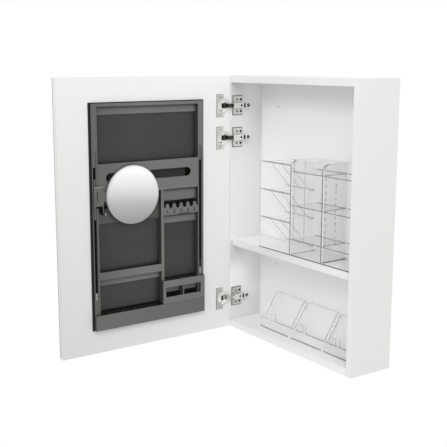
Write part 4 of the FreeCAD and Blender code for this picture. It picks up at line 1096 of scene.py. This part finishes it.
def dress_clear(node):
    """An acrylic node: clear faces and greyer cut edges, but for those that look towards the hinges."""
    kind = node.split("_")[0]
    sheet = "clear_" + node.split("_")[-1] if kind == "tower" else "clear"
    mesh = merged_copy(node)
    draw_in(mesh, CLEAR_GAP)
    light = ["bin_light"] if kind == "bin" else []
    piece = finished(node + "_finished", mesh, [sheet, CUT_EDGES[kind]] + light)
    for polygon in mesh.polygons:
        width = face_width(mesh, polygon)
        # Bins' rims that look along +X take bin_light, a painted highlight; other cut edges are painted
        # darker.
        if kind == "bin" and width < RIM_WIDTH and polygon.normal.x > FACING:
            polygon.material_index = 2
        elif width < CUT_EDGE_WIDTH and polygon.normal.x > -TURNED:
            polygon.material_index = 1
    eased(piece, CLEAR_ROUND, CLEAR_STEPS)
    stands_for(piece, node)


def dress_organisers():
    """Clear rack, towers and bins, with painted lines of light and shade in them."""
    for node in CLEAR_NODES:
        dress_clear(node)
    for node in SHELLS:
        low, high = corners(node)
        front = (low.y - PAD, low.y)
        inner = low.x + SHEET
        foot = low.z + SHEET
        bar("front_foot_" + node, "base_line", (low.x, high.x), front, (low.z, low.z + FOOT_LINE))
        if node in SIDE_LINES:
            bar("side_foot_" + node, "base_line", (inner, inner + PAD), (low.y + SHEET, high.y - SHEET),
                (foot, foot + SIDE_LINES[node]))
            bar("light_line_" + node, "white_line", (inner, inner + LIGHT_LINE), front,
                (foot, high.z - LIGHT_LINE_DROP))
            bar("dark_line_" + node, "base_line", (low.x, low.x + DARK_LINE), front,
                (foot, high.z - TOWER_ROUND))
            pads("arc_" + node, "case", "base_line", inner, PAD,
                 arc_band(low.y + TOWER_ROUND, high.z - TOWER_ROUND, TOWER_ROUND, DARK_LINE))
    for index, y in enumerate(PEG_COLUMNS):
        row_of_blocks("peg_holes_%d" % index, "case", "peg_grey", PEG_COUNT,
                      (PEG_X, y, PEG_TOP), (0.0, 0.0, -PEG_PITCH), PEG_SIZE)


# Surroundings, in metres

FLOOR_Z = -1.85
FLOOR_HALF = 8.0
FLOOR_TONE = (0.85, 0.85, 0.85)
WHITE = (1.0, 1.0, 1.0)
WORLD_LIGHT = 0.84

# Lamp, place, point that it lights, size, and power in watts
LAMPS = (("key", (2.3, -1.5, 1.9), (0.0, -0.2, -0.25), 1.6, 40.0),
         ("fill", (-0.6, -2.6, 0.6), (0.0, -0.1, -0.3), 1.4, 3.0))

# Photograph in pixels, then the camera: film in millimetres, place in metres, angles in degrees
IMAGE_SIDE = 447
PHOTO_FOCUS = 841.336
PHOTO_CENTRE = (203.47, 206.51)
SENSOR = 36.0
CAMERA_PLACE = (1.62684, -1.46675, 0.12076)
CAMERA_AZIMUTH = 56.1401
CAMERA_ELEVATION = 9.789
CAMERA_ROLL = -0.0128
CLIP_START = 0.05
CLIP_END = 50.0
CLEAR_BOUNCES = 96


def seen_directly(f):
    """1 for the camera's own rays and for what metal and glass show, 0 for light on the object."""
    camera, glossy, through = [f.node("ShaderNodeLightPath", output=ray)
                               for ray in ("Is Camera Ray", "Is Glossy Ray", "Is Transmission Ray")]
    return f.math("MAXIMUM", f.math("MAXIMUM", camera, glossy), through)


def white_world():
    """White where it is seen, softer where it lights the object."""
    f = Finish("studio", is_world=True)
    strength = f.node("ShaderNodeMix", {"data_type": "FLOAT"},
                      {0: seen_directly(f), 2: WORLD_LIGHT, 3: 1.0})
    background = f.node("ShaderNodeBackground", {}, {"Color": colour4(WHITE), "Strength": strength})
    bpy.context.scene.world = f.shown_by("ShaderNodeOutputWorld", background)


def pale_floor():
    """Plain pale floor, well below the hung cabinet."""
    mesh = bpy.data.meshes.new("floor")
    half = FLOOR_HALF
    mesh.from_pydata([(-half, -half, FLOOR_Z), (half, -half, FLOOR_Z), (half, half, FLOOR_Z),
                      (-half, half, FLOOR_Z)], [], [(0, 1, 2, 3)])
    floor = bpy.data.objects.new("floor", mesh)
    bpy.context.scene.collection.objects.link(floor)
    f = Finish("pale floor")
    diffuse = f.node("ShaderNodeBsdfDiffuse", {}, {"Color": colour4(FLOOR_TONE)})
    glow = f.node("ShaderNodeEmission")
    mix = f.node("ShaderNodeMixShader", {}, {0: seen_directly(f), 1: diffuse, 2: glow})
    mesh.materials.append(f.shown_by("ShaderNodeOutputMaterial", mix))


def soft_lamp(name, place, aim, size, power):
    """Large square lamp."""
    light = bpy.data.lights.new(name, "AREA")
    light.size = size
    light.energy = power
    lamp = bpy.data.objects.new(name, light)
    direction = Vector(aim) - Vector(place)
    lamp.matrix_world = Matrix.Translation(place) @ direction.to_track_quat("-Z", "Y").to_matrix().to_4x4()
    lamp.visible_camera = False
    bpy.context.scene.collection.objects.link(lamp)


def photo_camera():
    """Camera at the photograph's place and angle."""
    data = bpy.data.cameras.new("camera")
    data.sensor_width = SENSOR
    data.lens = PHOTO_FOCUS * SENSOR / IMAGE_SIDE
    data.shift_x = (IMAGE_SIDE / 2 - PHOTO_CENTRE[0]) / IMAGE_SIDE
    data.shift_y = (PHOTO_CENTRE[1] - IMAGE_SIDE / 2) / IMAGE_SIDE
    data.clip_start = CLIP_START
    data.clip_end = CLIP_END
    azimuth = math.radians(CAMERA_AZIMUTH)
    elevation = math.radians(CAMERA_ELEVATION)
    roll = math.radians(CAMERA_ROLL)
    right = Vector((math.cos(azimuth), math.sin(azimuth), 0.0))
    back = Vector((math.sin(azimuth) * math.cos(elevation), -math.cos(azimuth) * math.cos(elevation),
                   math.sin(elevation)))
    up = back.cross(right)
    turned_right = right * math.cos(roll) + up * math.sin(roll)
    turned_up = up * math.cos(roll) - right * math.sin(roll)
    turn = Matrix((turned_right, turned_up, back)).transposed().to_4x4()
    camera = bpy.data.objects.new("camera", data)
    camera.matrix_world = Matrix.Translation(CAMERA_PLACE) @ turn
    bpy.context.scene.collection.objects.link(camera)
    bpy.context.scene.camera = camera


dress_case()
dress_hinges()
dress_door()
dress_round_mirror()
dress_organisers()
white_world()
pale_floor()
for lamp in LAMPS:
    soft_lamp(*lamp)
photo_camera()
bpy.context.scene.cycles.transparent_max_bounces = CLEAR_BOUNCES
bpy.context.scene.view_settings.view_transform = "Standard"
